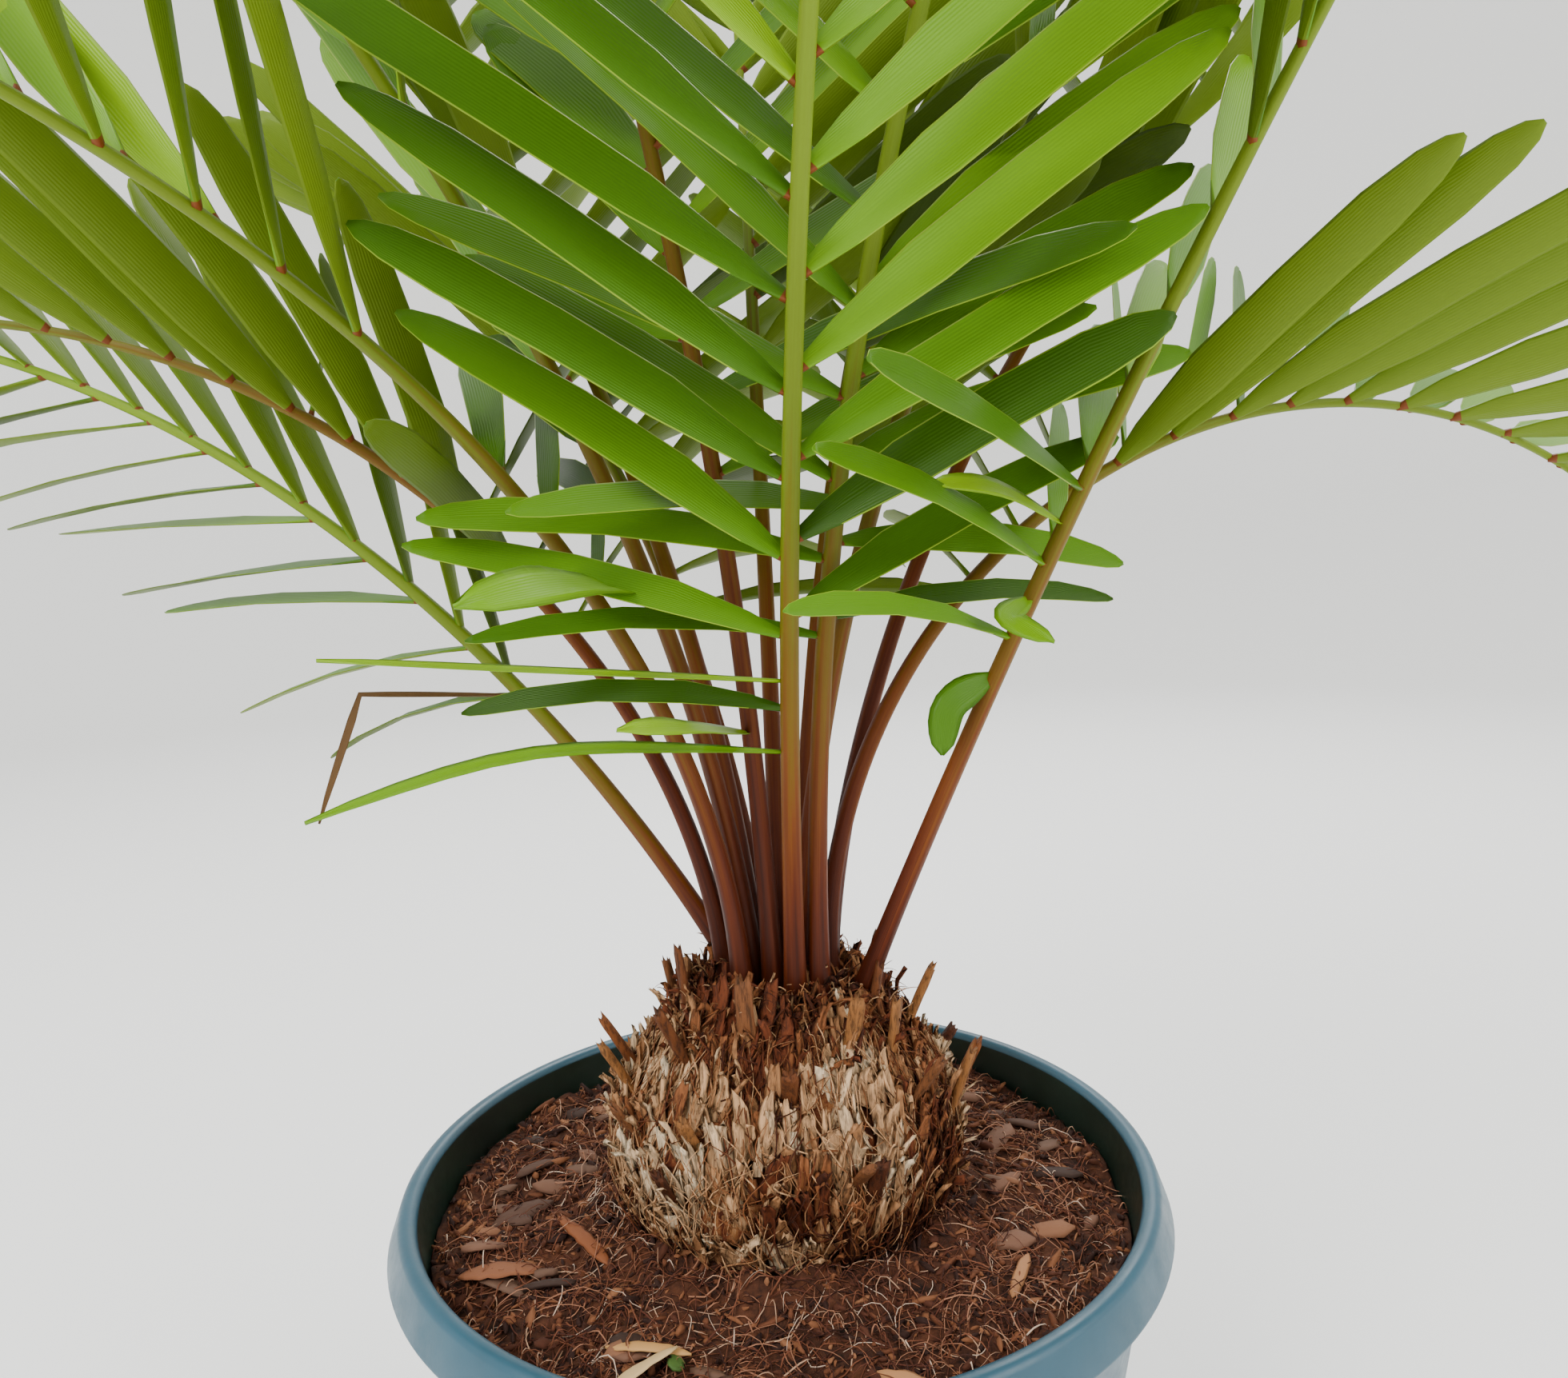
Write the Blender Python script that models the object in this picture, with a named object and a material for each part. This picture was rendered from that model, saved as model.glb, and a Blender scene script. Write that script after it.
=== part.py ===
# A coontie palm, a low cycad, in a round blue-green plastic nursery pot.
# The plant is one caudex, a swollen stem wrapped in papery bark, with sixteen feather fronds.
# Metres, +Z up. The origin is the middle of the pot's flat underside, and the plant's front faces -Y.

import math
from collections import namedtuple

import bmesh
import bpy
import numpy as np
from mathutils.bvhtree import BVHTree

# Neighbouring solids stay this far apart.
GAP = 0.0003

# Pot: a tapered wall, a flared collar round the mouth and six shallow drain dimples underneath.
POT_HEIGHT = 0.260
POT_MOUTH_RADIUS = 0.140
POT_BASE_RADIUS = 0.104
POT_WALL = 0.0035
POT_FLOOR = 0.005
POT_SIDES = 48
BASE_CORNER = 0.004
COLLAR_TOP_RADIUS = 0.1475
COLLAR_FOOT_RADIUS = 0.1515
COLLAR_DEPTH = 0.016
LIP_ROUND = 0.0035
DRAIN_COUNT = 6
DRAIN_RADIUS = 0.006
DRAIN_RING = 0.075
DRAIN_DEPTH = 0.0025

# Soil: peat that fills the pot to a little under its lip and heaps up round the stem.
SOIL_EDGE_Z = POT_HEIGHT - 0.020
SOIL_MOUND_Z = POT_HEIGHT - 0.017
SOIL_MOUND_RADIUS = 0.078
SOIL_SIDES = 48

# Caudex: a barrel that stands on the heaped soil and ends in a flat crown.
CAUDEX_CENTRE = (0.003, 0.000)
CAUDEX_TOP_Z = 0.328
CAUDEX_SIDES = 28
CAUDEX_RINGS = 8
CAUDEX_FOOT_RADIUS = 0.061
CAUDEX_BELLY_RADIUS = 0.067
CAUDEX_BELLY_SHARE = 0.33
CROWN_RADIUS = 0.038
LOBE_DEPTH = 0.0022
LOBES = 7

# Stubs of old leaf bases. They follow the spiral that a cycad's leaves grow in, from the crown
# down, each one golden angle on from the last, and lean out further the lower they stand.
STUB_COUNT = 20
STUB_FIRST_ANGLE = 200
GOLDEN_ANGLE = 137.508
STUB_TOP_SHARE = 0.97
STUB_LOW_SHARE = 0.42
STUB_TOP_LEAN = 6
STUB_LOW_LEAN = 42
STUB_LENGTH = 0.023
STUB_WIDTH = 0.0085
STUB_THICKNESS = 0.0045
STUB_SINK = 0.007

# Fronds: a three-sided stem that thins from its foot to its tip, and two rows of leaflets.
STEM_STEPS = 15
STEM_FOOT_RADIUS = 0.0038
STEM_TIP_RADIUS = 0.0014
LEAFLET_LENGTH = 0.160
LEAFLET_WIDTH = 0.0175
LEAFLET_THICKNESS = 0.0018
LEAFLET_SHOULDER = 0.22
LEAFLET_HAUNCH = 0.80
LEAFLET_FIRST_ANGLE = 90
LEAFLET_LAST_ANGLE = 38
LEAFLET_ANGLE_POWER = 0.35
LEAFLET_DROOP = 8
LOWEST_LEAFLET_DROOP = 26
LOWEST_LEAFLET = 0.72
TIP_LEAFLET = 0.58
LAST_LEAFLET_SHARE = 0.985
LIGHT_LEAN = 0.6

# How far a leaflet keeps from the other fronds, and the turns it tries before it is left out.
CLEARANCE = 0.0012
TURNS = ((0, 0), (9, 0), (-9, 0), (0, 11), (0, -11), (15, 9), (-15, 9), (15, -9), (-15, -9))
SEED = 7

# One row for each frond: how far its foot stands right of and behind the crown's middle, in
# millimetres; where it heads, counted from +X, and how far that turns; its lean from upright at
# the foot and at the tip, with the power that shares the bend out; its length in metres; how far
# it is rolled; how far its leaflets lift out of flat, and the share that they spread by; the bare
# share of its stem; and its pairs of leaflets. Angles are in degrees.
Frond = namedtuple("Frond", "right back heading turn lean_foot lean_tip bend length roll lift spread bare pairs")
FRONDS = {
    "frond_front": Frond(6, -20, -87, 6, 2, 62, 0.75, 0.60, 0, 18, 1.0, 0.19, 17),
    "frond_front_right": Frond(15, -16, -72, 4, 0, 66, 1.00, 0.62, 0, 20, 1.0, 0.22, 17),
    "frond_right_long": Frond(31, -9, -28, 0, 23, 34, 1.00, 0.66, 0, 24, 1.0, 0.22, 18),
    "frond_right_low": Frond(20, -2, 12, 0, -4, 136, 0.93, 0.54, 0, 34, 1.0, 0.30, 14),
    "frond_right_back": Frond(19, 8, 20, 0, 3, 66, 0.82, 0.62, 0, 28, 1.0, 0.30, 16),
    "frond_left_low": Frond(-15, 14, 167, 0, 31, 88, 1.10, 0.58, 80, 4, 0.62, 0.24, 15),
    "frond_left_brown": Frond(-21, 2, 173, 0, 0, 104, 0.78, 0.58, 0, 38, 1.0, 0.26, 16),
    "frond_left_front": Frond(-14, -15, 206, 18, -1, 94, 0.80, 0.62, 0, 38, 1.0, 0.26, 17),
    "frond_left_tall": Frond(-9, -4, 216, 0, 4, 53, 0.80, 0.62, 0, 26, 1.0, 0.26, 17),
    "frond_back_left": Frond(-8, 6, 150, 0, 4, 52, 0.90, 0.62, 0, 24, 1.0, 0.26, 17),
    "frond_back": Frond(1, 11, 92, 0, 3, 50, 1.00, 0.62, 0, 24, 1.0, 0.28, 16),
    "frond_back_right": Frond(9, 4, 60, 0, 3, 54, 1.00, 0.62, 0, 24, 1.0, 0.28, 16),
    "frond_middle_left": Frond(-2, -11, 236, 0, 2, 32, 1.00, 0.62, 0, 22, 1.0, 0.26, 17),
    "frond_middle_right": Frond(8, -6, 332, 0, 2, 50, 0.90, 0.60, 0, 22, 1.0, 0.26, 16),
    "frond_low_back_left": Frond(-5, 21, 128, 0, 6, 78, 0.80, 0.58, 0, 30, 1.0, 0.26, 15),
    "frond_low_back_right": Frond(8, 19, 74, 0, 6, 80, 0.80, 0.58, 0, 30, 1.0, 0.26, 15),
}


def clear_scene():
    for thing in list(bpy.data.objects):
        bpy.data.objects.remove(thing, do_unlink=True)


def material(name, colour, roughness):
    made = bpy.data.materials.new(name)
    made.use_nodes = True
    shader = made.node_tree.nodes["Principled BSDF"]
    shader.inputs["Base Color"].default_value = (*colour, 1.0)
    shader.inputs["Roughness"].default_value = roughness
    return made


def object_from(name, shape, look=None):
    mesh = bpy.data.meshes.new(name)
    bmesh.ops.recalc_face_normals(shape, faces=shape.faces)
    shape.to_mesh(mesh)
    shape.free()
    made = bpy.data.objects.new(name, mesh)
    bpy.context.scene.collection.objects.link(made)
    if look:
        mesh.materials.append(look)
    return made


def apply_modifiers(thing):
    graph = bpy.context.evaluated_depsgraph_get()
    finished = bpy.data.meshes.new_from_object(thing.evaluated_get(graph))
    rough = thing.data
    thing.modifiers.clear()
    thing.data = finished
    bpy.data.meshes.remove(rough)


def join_collection(thing, helpers, operation="UNION"):
    # One Boolean takes every helper at once, and the helpers are then removed.
    group = bpy.data.collections.new(thing.name + "_helpers")
    bpy.context.scene.collection.children.link(group)
    for helper in helpers:
        group.objects.link(helper)
        bpy.context.scene.collection.objects.unlink(helper)
    modifier = thing.modifiers.new("join", "BOOLEAN")
    modifier.operation = operation
    modifier.solver = "EXACT"
    modifier.operand_type = "COLLECTION"
    modifier.collection = group
    apply_modifiers(thing)
    for helper in helpers:
        mesh = helper.data
        bpy.data.objects.remove(helper, do_unlink=True)
        bpy.data.meshes.remove(mesh)
    bpy.data.collections.remove(group)


def arc(centre, radius, start, end, steps):
    # Points of a round corner in the profile's plane, from one angle to another in degrees.
    angles = np.radians(np.linspace(start, end, steps))
    return [(centre[0] + radius * math.cos(a), centre[1] + radius * math.sin(a)) for a in angles]


def turned(name, profile, sides, look):
    # A profile of radius and height, from the axis and back to it, spun once round the Z axis.
    shape = bmesh.new()
    points = [shape.verts.new((radius, 0.0, height)) for radius, height in profile]
    edges = [shape.edges.new(pair) for pair in zip(points[:-1], points[1:])]
    bmesh.ops.spin(
        shape,
        geom=points + edges,
        cent=(0, 0, 0),
        axis=(0, 0, 1),
        angle=2 * math.pi,
        steps=sides,
        use_merge=True,
    )
    bmesh.ops.remove_doubles(shape, verts=shape.verts, dist=0.00001)
    made = object_from(name, shape, look)
    made.data.shade_smooth()
    made.data.set_sharp_from_angle(angle=math.radians(35))
    return made


def wall_radius(height):
    # The outside of the pot's tapered wall at this height.
    neck = POT_HEIGHT - COLLAR_DEPTH
    outer_neck = POT_MOUTH_RADIUS + POT_WALL - 0.001
    return POT_BASE_RADIUS + (outer_neck - POT_BASE_RADIUS) * height / neck


def make_pot():
    collar_foot_z = POT_HEIGHT - COLLAR_DEPTH
    neck_radius = wall_radius(collar_foot_z)
    floor_radius = wall_radius(POT_FLOOR) - POT_WALL
    outer_corner = (COLLAR_TOP_RADIUS - LIP_ROUND, POT_HEIGHT - LIP_ROUND)
    inner_corner = (POT_MOUTH_RADIUS + LIP_ROUND, POT_HEIGHT - LIP_ROUND)
    hem_corner = (COLLAR_FOOT_RADIUS - LIP_ROUND / 2, collar_foot_z + LIP_ROUND / 2)
    base_corner = (POT_BASE_RADIUS - BASE_CORNER, BASE_CORNER)
    profile = [(0.0, 0.0)]
    profile += arc(base_corner, BASE_CORNER, -90, -8, 4)
    profile += [(neck_radius, collar_foot_z + 0.002)]
    profile += [(neck_radius + 0.002, collar_foot_z)]
    profile += arc(hem_corner, LIP_ROUND / 2, -90, 15, 4)
    profile += arc(outer_corner, LIP_ROUND, 20, 90, 4)
    profile += arc(inner_corner, LIP_ROUND, 90, 180, 4)
    profile += [(floor_radius, POT_FLOOR), (0.0, POT_FLOOR)]
    plastic = material("pot_plastic", (0.075, 0.150, 0.160), 0.42)
    pot = turned("pot", profile, POT_SIDES, plastic)
    dimples = []
    for index in range(DRAIN_COUNT):
        angle = 2 * math.pi * (index + 0.5) / DRAIN_COUNT
        shape = bmesh.new()
        bmesh.ops.create_cone(
            shape, cap_ends=True, segments=10, radius1=DRAIN_RADIUS, radius2=DRAIN_RADIUS, depth=2 * DRAIN_DEPTH
        )
        place = (DRAIN_RING * math.cos(angle), DRAIN_RING * math.sin(angle), 0.0)
        bmesh.ops.translate(shape, verts=shape.verts, vec=place)
        dimples.append(object_from(f"drain_{index}", shape))
    join_collection(pot, dimples, "DIFFERENCE")
    return pot


def make_soil():
    # The soil's side follows the pot's inner wall, one gap inside it.
    def inner_wall(height):
        floor_radius = wall_radius(POT_FLOOR) - POT_WALL
        top = POT_HEIGHT - LIP_ROUND
        share = (height - POT_FLOOR) / (top - POT_FLOOR)
        return floor_radius + (POT_MOUTH_RADIUS - floor_radius) * share

    clear = 2 * GAP
    bottom = POT_FLOOR + GAP
    edge_radius = inner_wall(SOIL_EDGE_Z) - clear
    profile = [(0.0, bottom), (inner_wall(bottom) - clear, bottom), (edge_radius, SOIL_EDGE_Z - 0.002)]
    profile += [(edge_radius - 0.004, SOIL_EDGE_Z)]
    for share in (0.35, 0.7, 1.0):
        radius = edge_radius + (SOIL_MOUND_RADIUS - edge_radius) * share
        rise = 0.5 - 0.5 * math.cos(math.pi * share)
        profile += [(radius, SOIL_EDGE_Z + (SOIL_MOUND_Z - SOIL_EDGE_Z) * rise)]
    profile += [(0.0, SOIL_MOUND_Z)]
    peat = material("peat_soil", (0.110, 0.048, 0.022), 0.95)
    return turned("soil", profile, SOIL_SIDES, peat)


def barrel_radius(share):
    # The stem's radius up its height: out to the belly, then in to the crown.
    if share < CAUDEX_BELLY_SHARE:
        rise = math.sin(0.5 * math.pi * share / CAUDEX_BELLY_SHARE)
        return CAUDEX_FOOT_RADIUS + (CAUDEX_BELLY_RADIUS - CAUDEX_FOOT_RADIUS) * rise
    fall = (share - CAUDEX_BELLY_SHARE) / (1 - CAUDEX_BELLY_SHARE)
    return CROWN_RADIUS + (CAUDEX_BELLY_RADIUS - CROWN_RADIUS) * math.sqrt(1 - fall**2.4)


def stub(name, place, out_angle, lean, length, look):
    # A flattened, tapering leaf base: it starts inside the stem and leans outwards.
    shape = bmesh.new()
    bmesh.ops.create_cube(shape, size=1.0)
    outward = np.array([math.cos(out_angle), math.sin(out_angle), 0.0])
    upward = np.array([0.0, 0.0, 1.0])
    along = upward * math.cos(lean) + outward * math.sin(lean)
    facing = outward * math.cos(lean) - upward * math.sin(lean)
    across = np.cross(along, facing)
    for vert in shape.verts:
        end = vert.co.z + 0.5
        taper = 1.0 - 0.35 * end
        point = np.array(place) + along * (end * (length + STUB_SINK) - STUB_SINK)
        point = point + across * (vert.co.x * STUB_WIDTH * taper)
        point = point + facing * (vert.co.y * STUB_THICKNESS * taper)
        vert.co = point
    return object_from(name, shape, look)


def make_caudex(chance):
    bottom = SOIL_MOUND_Z + GAP
    height = CAUDEX_TOP_Z - bottom
    shape = bmesh.new()
    rings = []
    for level in range(CAUDEX_RINGS + 1):
        share = level / CAUDEX_RINGS
        ring = []
        for side in range(CAUDEX_SIDES):
            angle = 2 * math.pi * side / CAUDEX_SIDES
            lobe = LOBE_DEPTH * math.sin(LOBES * angle + 2.2 * share) * math.sin(math.pi * share)
            radius = barrel_radius(share) + lobe
            x = CAUDEX_CENTRE[0] + radius * math.cos(angle)
            y = CAUDEX_CENTRE[1] + radius * math.sin(angle)
            ring.append(shape.verts.new((x, y, bottom + share * height)))
        rings.append(ring)
    for low, high in zip(rings[:-1], rings[1:]):
        for side in range(CAUDEX_SIDES):
            after = (side + 1) % CAUDEX_SIDES
            shape.faces.new((low[side], low[after], high[after], high[side]))
    shape.faces.new(rings[0][::-1])
    shape.faces.new(rings[-1])
    bark = material("papery_bark", (0.330, 0.180, 0.085), 0.85)
    caudex = object_from("caudex", shape, bark)
    stubs = []
    for index in range(STUB_COUNT):
        down = index / (STUB_COUNT - 1)
        share = STUB_TOP_SHARE + (STUB_LOW_SHARE - STUB_TOP_SHARE) * down**1.6
        angle = math.radians(STUB_FIRST_ANGLE + GOLDEN_ANGLE * index)
        radius = barrel_radius(share) - 0.3 * STUB_THICKNESS
        place = (
            CAUDEX_CENTRE[0] + radius * math.cos(angle),
            CAUDEX_CENTRE[1] + radius * math.sin(angle),
            bottom + share * height,
        )
        lean = math.radians(STUB_TOP_LEAN + (STUB_LOW_LEAN - STUB_TOP_LEAN) * down + chance.uniform(-6, 6))
        length = STUB_LENGTH * chance.uniform(0.75, 1.25)
        stubs.append(stub(f"stub_{index}", place, angle, lean, length, bark))
    join_collection(caudex, stubs)
    return caudex


def unit(vectors):
    return vectors / np.linalg.norm(vectors, axis=-1, keepdims=True)


def frond_line(frond):
    # The stem's course: points, and at each its direction, its upper side and its right side.
    share = np.linspace(0.0, 1.0, STEM_STEPS + 1)
    lean = np.radians(frond.lean_foot + (frond.lean_tip - frond.lean_foot) * share**frond.bend)
    heading = np.radians(frond.heading + frond.turn * share)
    along = np.stack([np.sin(lean) * np.cos(heading), np.sin(lean) * np.sin(heading), np.cos(lean)], axis=1)
    upper = np.stack([-np.cos(lean) * np.cos(heading), -np.cos(lean) * np.sin(heading), np.sin(lean)], axis=1)
    right = np.cross(along, upper)
    roll = math.radians(frond.roll)
    upper, right = upper * math.cos(roll) + right * math.sin(roll), right * math.cos(roll) - upper * math.sin(roll)
    foot = np.array([CAUDEX_CENTRE[0] + frond.right / 1000, CAUDEX_CENTRE[1] + frond.back / 1000, CAUDEX_TOP_Z + GAP])
    steps = (along[1:] + along[:-1]) * 0.5 * frond.length / STEM_STEPS
    points = np.vstack([foot, foot + np.cumsum(steps, axis=0)])
    return share, points, along, upper, right, heading


def at_share(share, values, wanted):
    return np.array([np.interp(wanted, share, values[:, axis]) for axis in range(values.shape[1])])


def stem_shape(line, extra=0.0):
    # A three-sided stem. Its first ring lies level, so that the foot stands flat on the crown.
    share, points, along, upper, right, _ = line
    radius = STEM_FOOT_RADIUS + (STEM_TIP_RADIUS - STEM_FOOT_RADIUS) * share + extra
    shape = bmesh.new()
    rings = []
    for step in range(len(points)):
        ring = []
        for corner in range(3):
            angle = 2 * math.pi * corner / 3 - 0.5 * math.pi
            spot = points[step] + radius[step] * (math.cos(angle) * right[step] + math.sin(angle) * upper[step])
            if step == 0:
                spot = spot + along[0] * (points[0][2] - spot[2]) / along[0][2]
            ring.append(shape.verts.new(spot))
        rings.append(ring)
    for low, high in zip(rings[:-1], rings[1:]):
        for corner in range(3):
            after = (corner + 1) % 3
            shape.faces.new((low[corner], low[after], high[after], high[corner]))
    shape.faces.new(rings[0][::-1])
    shape.faces.new(rings[-1])
    return shape


def leaflet_plan(frond, line, number, chance):
    # Where each leaflet of a frond starts, how it points, how long it is and how far it droops.
    share, points, along, upper, right, heading = line
    plan = []
    for pair in range(frond.pairs):
        for side in (1, -1):
            place = (pair + (0.25 if side > 0 else 0.5)) / frond.pairs
            wanted = frond.bare + (LAST_LEAFLET_SHARE - frond.bare) * place
            shift = chance.uniform(-1.0, 1.0, 4)
            closing = place**LEAFLET_ANGLE_POWER
            angle = LEAFLET_FIRST_ANGLE + (LEAFLET_LAST_ANGLE - LEAFLET_FIRST_ANGLE) * closing
            long = 1 - (1 - TIP_LEAFLET) * max(0.0, (place - 0.45) / 0.55) ** 1.5
            long = long - (1 - LOWEST_LEAFLET) * (1 - place) ** 6
            plan.append(
                {
                    "root": at_share(share, points, wanted),
                    "along": unit(at_share(share, along, wanted)),
                    "upper": unit(at_share(share, upper, wanted)),
                    "out": side * unit(at_share(share, right, wanted)),
                    "heading": np.interp(wanted, share, heading),
                    "angle": frond.spread * angle + 5 * shift[0],
                    "lift": frond.lift + 6 * shift[1],
                    "length": LEAFLET_LENGTH * long * (1 + 0.05 * shift[2]),
                    "droop": math.radians(LEAFLET_DROOP + LOWEST_LEAFLET_DROOP * (1 - place) ** 8 + 4 * shift[3]),
                }
            )
    return plan


def leaflet_frame(leaf, turn):
    # The direction a leaflet leaves its stem in, turned and lifted by the try that it is on.
    angle = math.radians(leaf["angle"] + turn[0])
    lift = math.radians(leaf["lift"] + turn[1])
    sideways = leaf["out"] * math.cos(lift) + leaf["upper"] * math.sin(lift)
    return math.cos(angle) * leaf["along"] + math.sin(angle) * sideways


def leaflet_course(leaf, start, share):
    # A leaflet bends evenly towards the ground: an arc of a circle, by the share of its length.
    down = np.array([0.0, 0.0, -1.0])
    sag = down - np.dot(down, start) * start
    level = max(np.linalg.norm(sag), 0.02)
    sag = sag / level
    bend = leaf["droop"] * level
    point = leaf["root"] + leaf["length"] * (start * math.sin(bend * share) + sag * (1 - math.cos(bend * share))) / bend
    ahead = start * math.cos(bend * share) + sag * math.sin(bend * share)
    light = np.array([LIGHT_LEAN * math.cos(leaf["heading"]), LIGHT_LEAN * math.sin(leaf["heading"]), 1.0])
    face = unit(light - np.dot(light, ahead) * ahead)
    return point, face, np.cross(face, ahead)


def leaflet_shape(leaf, start, extra=0.0):
    # A thin keeled blade: a point inside the stem, two three-cornered sections and a point at the tip.
    shape = bmesh.new()
    root = shape.verts.new(leaf["root"])
    rings = []
    for share in (LEAFLET_SHOULDER, LEAFLET_HAUNCH):
        point, face, across = leaflet_course(leaf, start, share)
        half = LEAFLET_WIDTH / 2 + extra
        corners = (
            point + across * half + face * extra,
            point - across * half + face * extra,
            point - face * (LEAFLET_THICKNESS + extra),
        )
        rings.append([shape.verts.new(corner) for corner in corners])
    tip = shape.verts.new(leaflet_course(leaf, start, 1.0 + extra / leaf["length"])[0])
    for corner in range(3):
        after = (corner + 1) % 3
        shape.faces.new((root, rings[0][after], rings[0][corner]))
        shape.faces.new((rings[0][corner], rings[0][after], rings[1][after], rings[1][corner]))
        shape.faces.new((rings[1][corner], rings[1][after], tip))
    return shape


def make_fronds(chance):
    lines = {name: frond_line(frond) for name, frond in FRONDS.items()}
    stems = {}
    for name, line in lines.items():
        shape = stem_shape(line, CLEARANCE)
        stems[name] = BVHTree.FromBMesh(shape)
        shape.free()
    blades = {}
    left_out = 0
    for number, (name, frond) in enumerate(FRONDS.items()):
        leaf_green = material(name, (0.070 + 0.004 * number, 0.190, 0.018), 0.45)
        stem = object_from(name, stem_shape(lines[name]), leaf_green)
        others = [tree for other, tree in stems.items() if other != name] + list(blades.values())
        helpers = []
        grown = bmesh.new()
        for index, leaf in enumerate(leaflet_plan(frond, lines[name], number, chance)):
            for turn in TURNS:
                start = leaflet_frame(leaf, turn)
                probe = leaflet_shape(leaf, start, CLEARANCE)
                tree = BVHTree.FromBMesh(probe)
                if any(tree.overlap(other) for other in others):
                    probe.free()
                    continue
                scratch = bpy.data.meshes.new("probe")
                probe.to_mesh(scratch)
                probe.free()
                grown.from_mesh(scratch)
                bpy.data.meshes.remove(scratch)
                helpers.append(object_from(f"{name}_leaflet_{index}", leaflet_shape(leaf, start), leaf_green))
                break
            else:
                left_out += 1
        blades[name] = BVHTree.FromBMesh(grown)
        grown.free()
        join_collection(stem, helpers)
        print(f"{name}: {len(helpers)} leaflets")
    print(f"leaflets left out: {left_out}")


def main():
    clear_scene()
    make_pot()
    make_soil()
    make_caudex(np.random.default_rng(SEED))
    make_fronds(np.random.default_rng(SEED + 1))


main()
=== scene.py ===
import math
from collections import namedtuple

import bpy
import numpy as np
from mathutils import Matrix, Vector
from mathutils.bvhtree import BVHTree


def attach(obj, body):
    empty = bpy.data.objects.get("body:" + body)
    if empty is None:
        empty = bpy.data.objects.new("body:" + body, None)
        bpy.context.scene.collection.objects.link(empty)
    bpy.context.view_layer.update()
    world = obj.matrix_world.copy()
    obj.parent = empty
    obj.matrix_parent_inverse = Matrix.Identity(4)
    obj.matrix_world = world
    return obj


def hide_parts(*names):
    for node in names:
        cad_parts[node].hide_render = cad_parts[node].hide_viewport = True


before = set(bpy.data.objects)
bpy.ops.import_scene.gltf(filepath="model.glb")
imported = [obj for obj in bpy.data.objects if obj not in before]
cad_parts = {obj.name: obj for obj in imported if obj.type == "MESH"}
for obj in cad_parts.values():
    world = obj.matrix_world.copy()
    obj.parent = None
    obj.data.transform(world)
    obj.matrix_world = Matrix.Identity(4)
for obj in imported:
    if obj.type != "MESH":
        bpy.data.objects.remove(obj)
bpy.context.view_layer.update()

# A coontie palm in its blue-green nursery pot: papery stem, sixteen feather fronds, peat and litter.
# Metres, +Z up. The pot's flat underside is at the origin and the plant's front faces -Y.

fullTurn = 2 * math.pi


# Colours and nodes

def linear(hexColour):
    # an sRGB hex colour as the linear numbers that a shader takes
    channels = np.array([int(hexColour[i:i + 2], 16) / 255 for i in (1, 3, 5)])
    bent = np.where(channels <= 0.04045, channels / 12.92, ((channels + 0.055) / 1.055) ** 2.4)
    return (*bent.tolist(), 1.0)


def darker(hexColour, share):
    # the same colour with each sRGB channel cut down to a share
    return "#" + "".join(f"{int(int(hexColour[i:i + 2], 16) * share):02x}" for i in (1, 3, 5))


def addNode(tree, kind, values=None, links=None, **settings):
    # one node, with its settings, its input values and the outputs that feed it
    node = tree.nodes.new(kind)
    for name, value in settings.items():
        setattr(node, name, value)
    for name, value in (values or {}).items():
        node.inputs[name].default_value = value
    for name, output in (links or {}).items():
        tree.links.new(output, node.inputs[name])
    return node


def startMaterial(name, colour, roughness, shine):
    made = bpy.data.materials.new(name)
    made.use_nodes = True
    shader = made.node_tree.nodes["Principled BSDF"]
    values = {"Base Color": linear(colour), "Roughness": roughness, "Specular IOR Level": shine}
    for socket, value in values.items():
        shader.inputs[socket].default_value = value
    return made, made.node_tree, shader


def addBump(tree, shader, height, strength, distance):
    bump = addNode(tree, "ShaderNodeBump", {"Strength": strength, "Distance": distance}, {"Height": height})
    tree.links.new(bump.outputs["Normal"], shader.inputs["Normal"])


def blendColours(tree, shader, factor, stops):
    # a ramp of hex colours over a factor, into the base colour
    ramp = addNode(tree, "ShaderNodeValToRGB", links={"Fac": factor})
    marks = ramp.color_ramp.elements
    while len(marks) < len(stops):
        marks.new(0.5)
    for mark, (place, colour) in zip(marks, stops):
        mark.position = place
        mark.color = linear(colour)
    tree.links.new(ramp.outputs["Color"], shader.inputs["Base Color"])


def plantMatter(name, colour, finish, stops=()):
    # One noise over the object's own place gives the change of colour and the relief. It is squeezed
    # along Z where the fibres stand upright.
    made, tree, shader = startMaterial(name, colour, finish["roughness"], finish["shine"])
    place = addNode(tree, "ShaderNodeTexCoord")
    squeeze = addNode(tree, "ShaderNodeMapping", {"Scale": (1.0, 1.0, finish["squeeze"])},
                      {"Vector": place.outputs["Object"]})
    fibre = addNode(tree, "ShaderNodeTexNoise", finish["noise"], {"Vector": squeeze.outputs["Vector"]})
    if stops:
        blendColours(tree, shader, fibre.outputs["Fac"], stops)
    addBump(tree, shader, fibre.outputs["Fac"], *finish["bump"])
    return made


def plainMatt(name, colour, roughness=0.85, grain=240.0, strength=0.4):
    # dead plant matter of one colour: matt, with a fine fibrous unevenness
    noise = {"Scale": grain, "Detail": 4.0, "Roughness": 0.65}
    return plantMatter(name, colour, {"roughness": roughness, "shine": 0.3, "squeeze": 1.0, "noise": noise,
                                      "bump": (strength, 0.0006)})


def shades(finish, name, colours, *settings):
    # one plain material for each colour, to be dealt out over the shapes of a piece
    return [finish(f"{name}_{i}", colour, *settings) for i, colour in enumerate(colours)]


# Meshes

def unit(vectors):
    return vectors / np.linalg.norm(vectors, axis=-1, keepdims=True)


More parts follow.
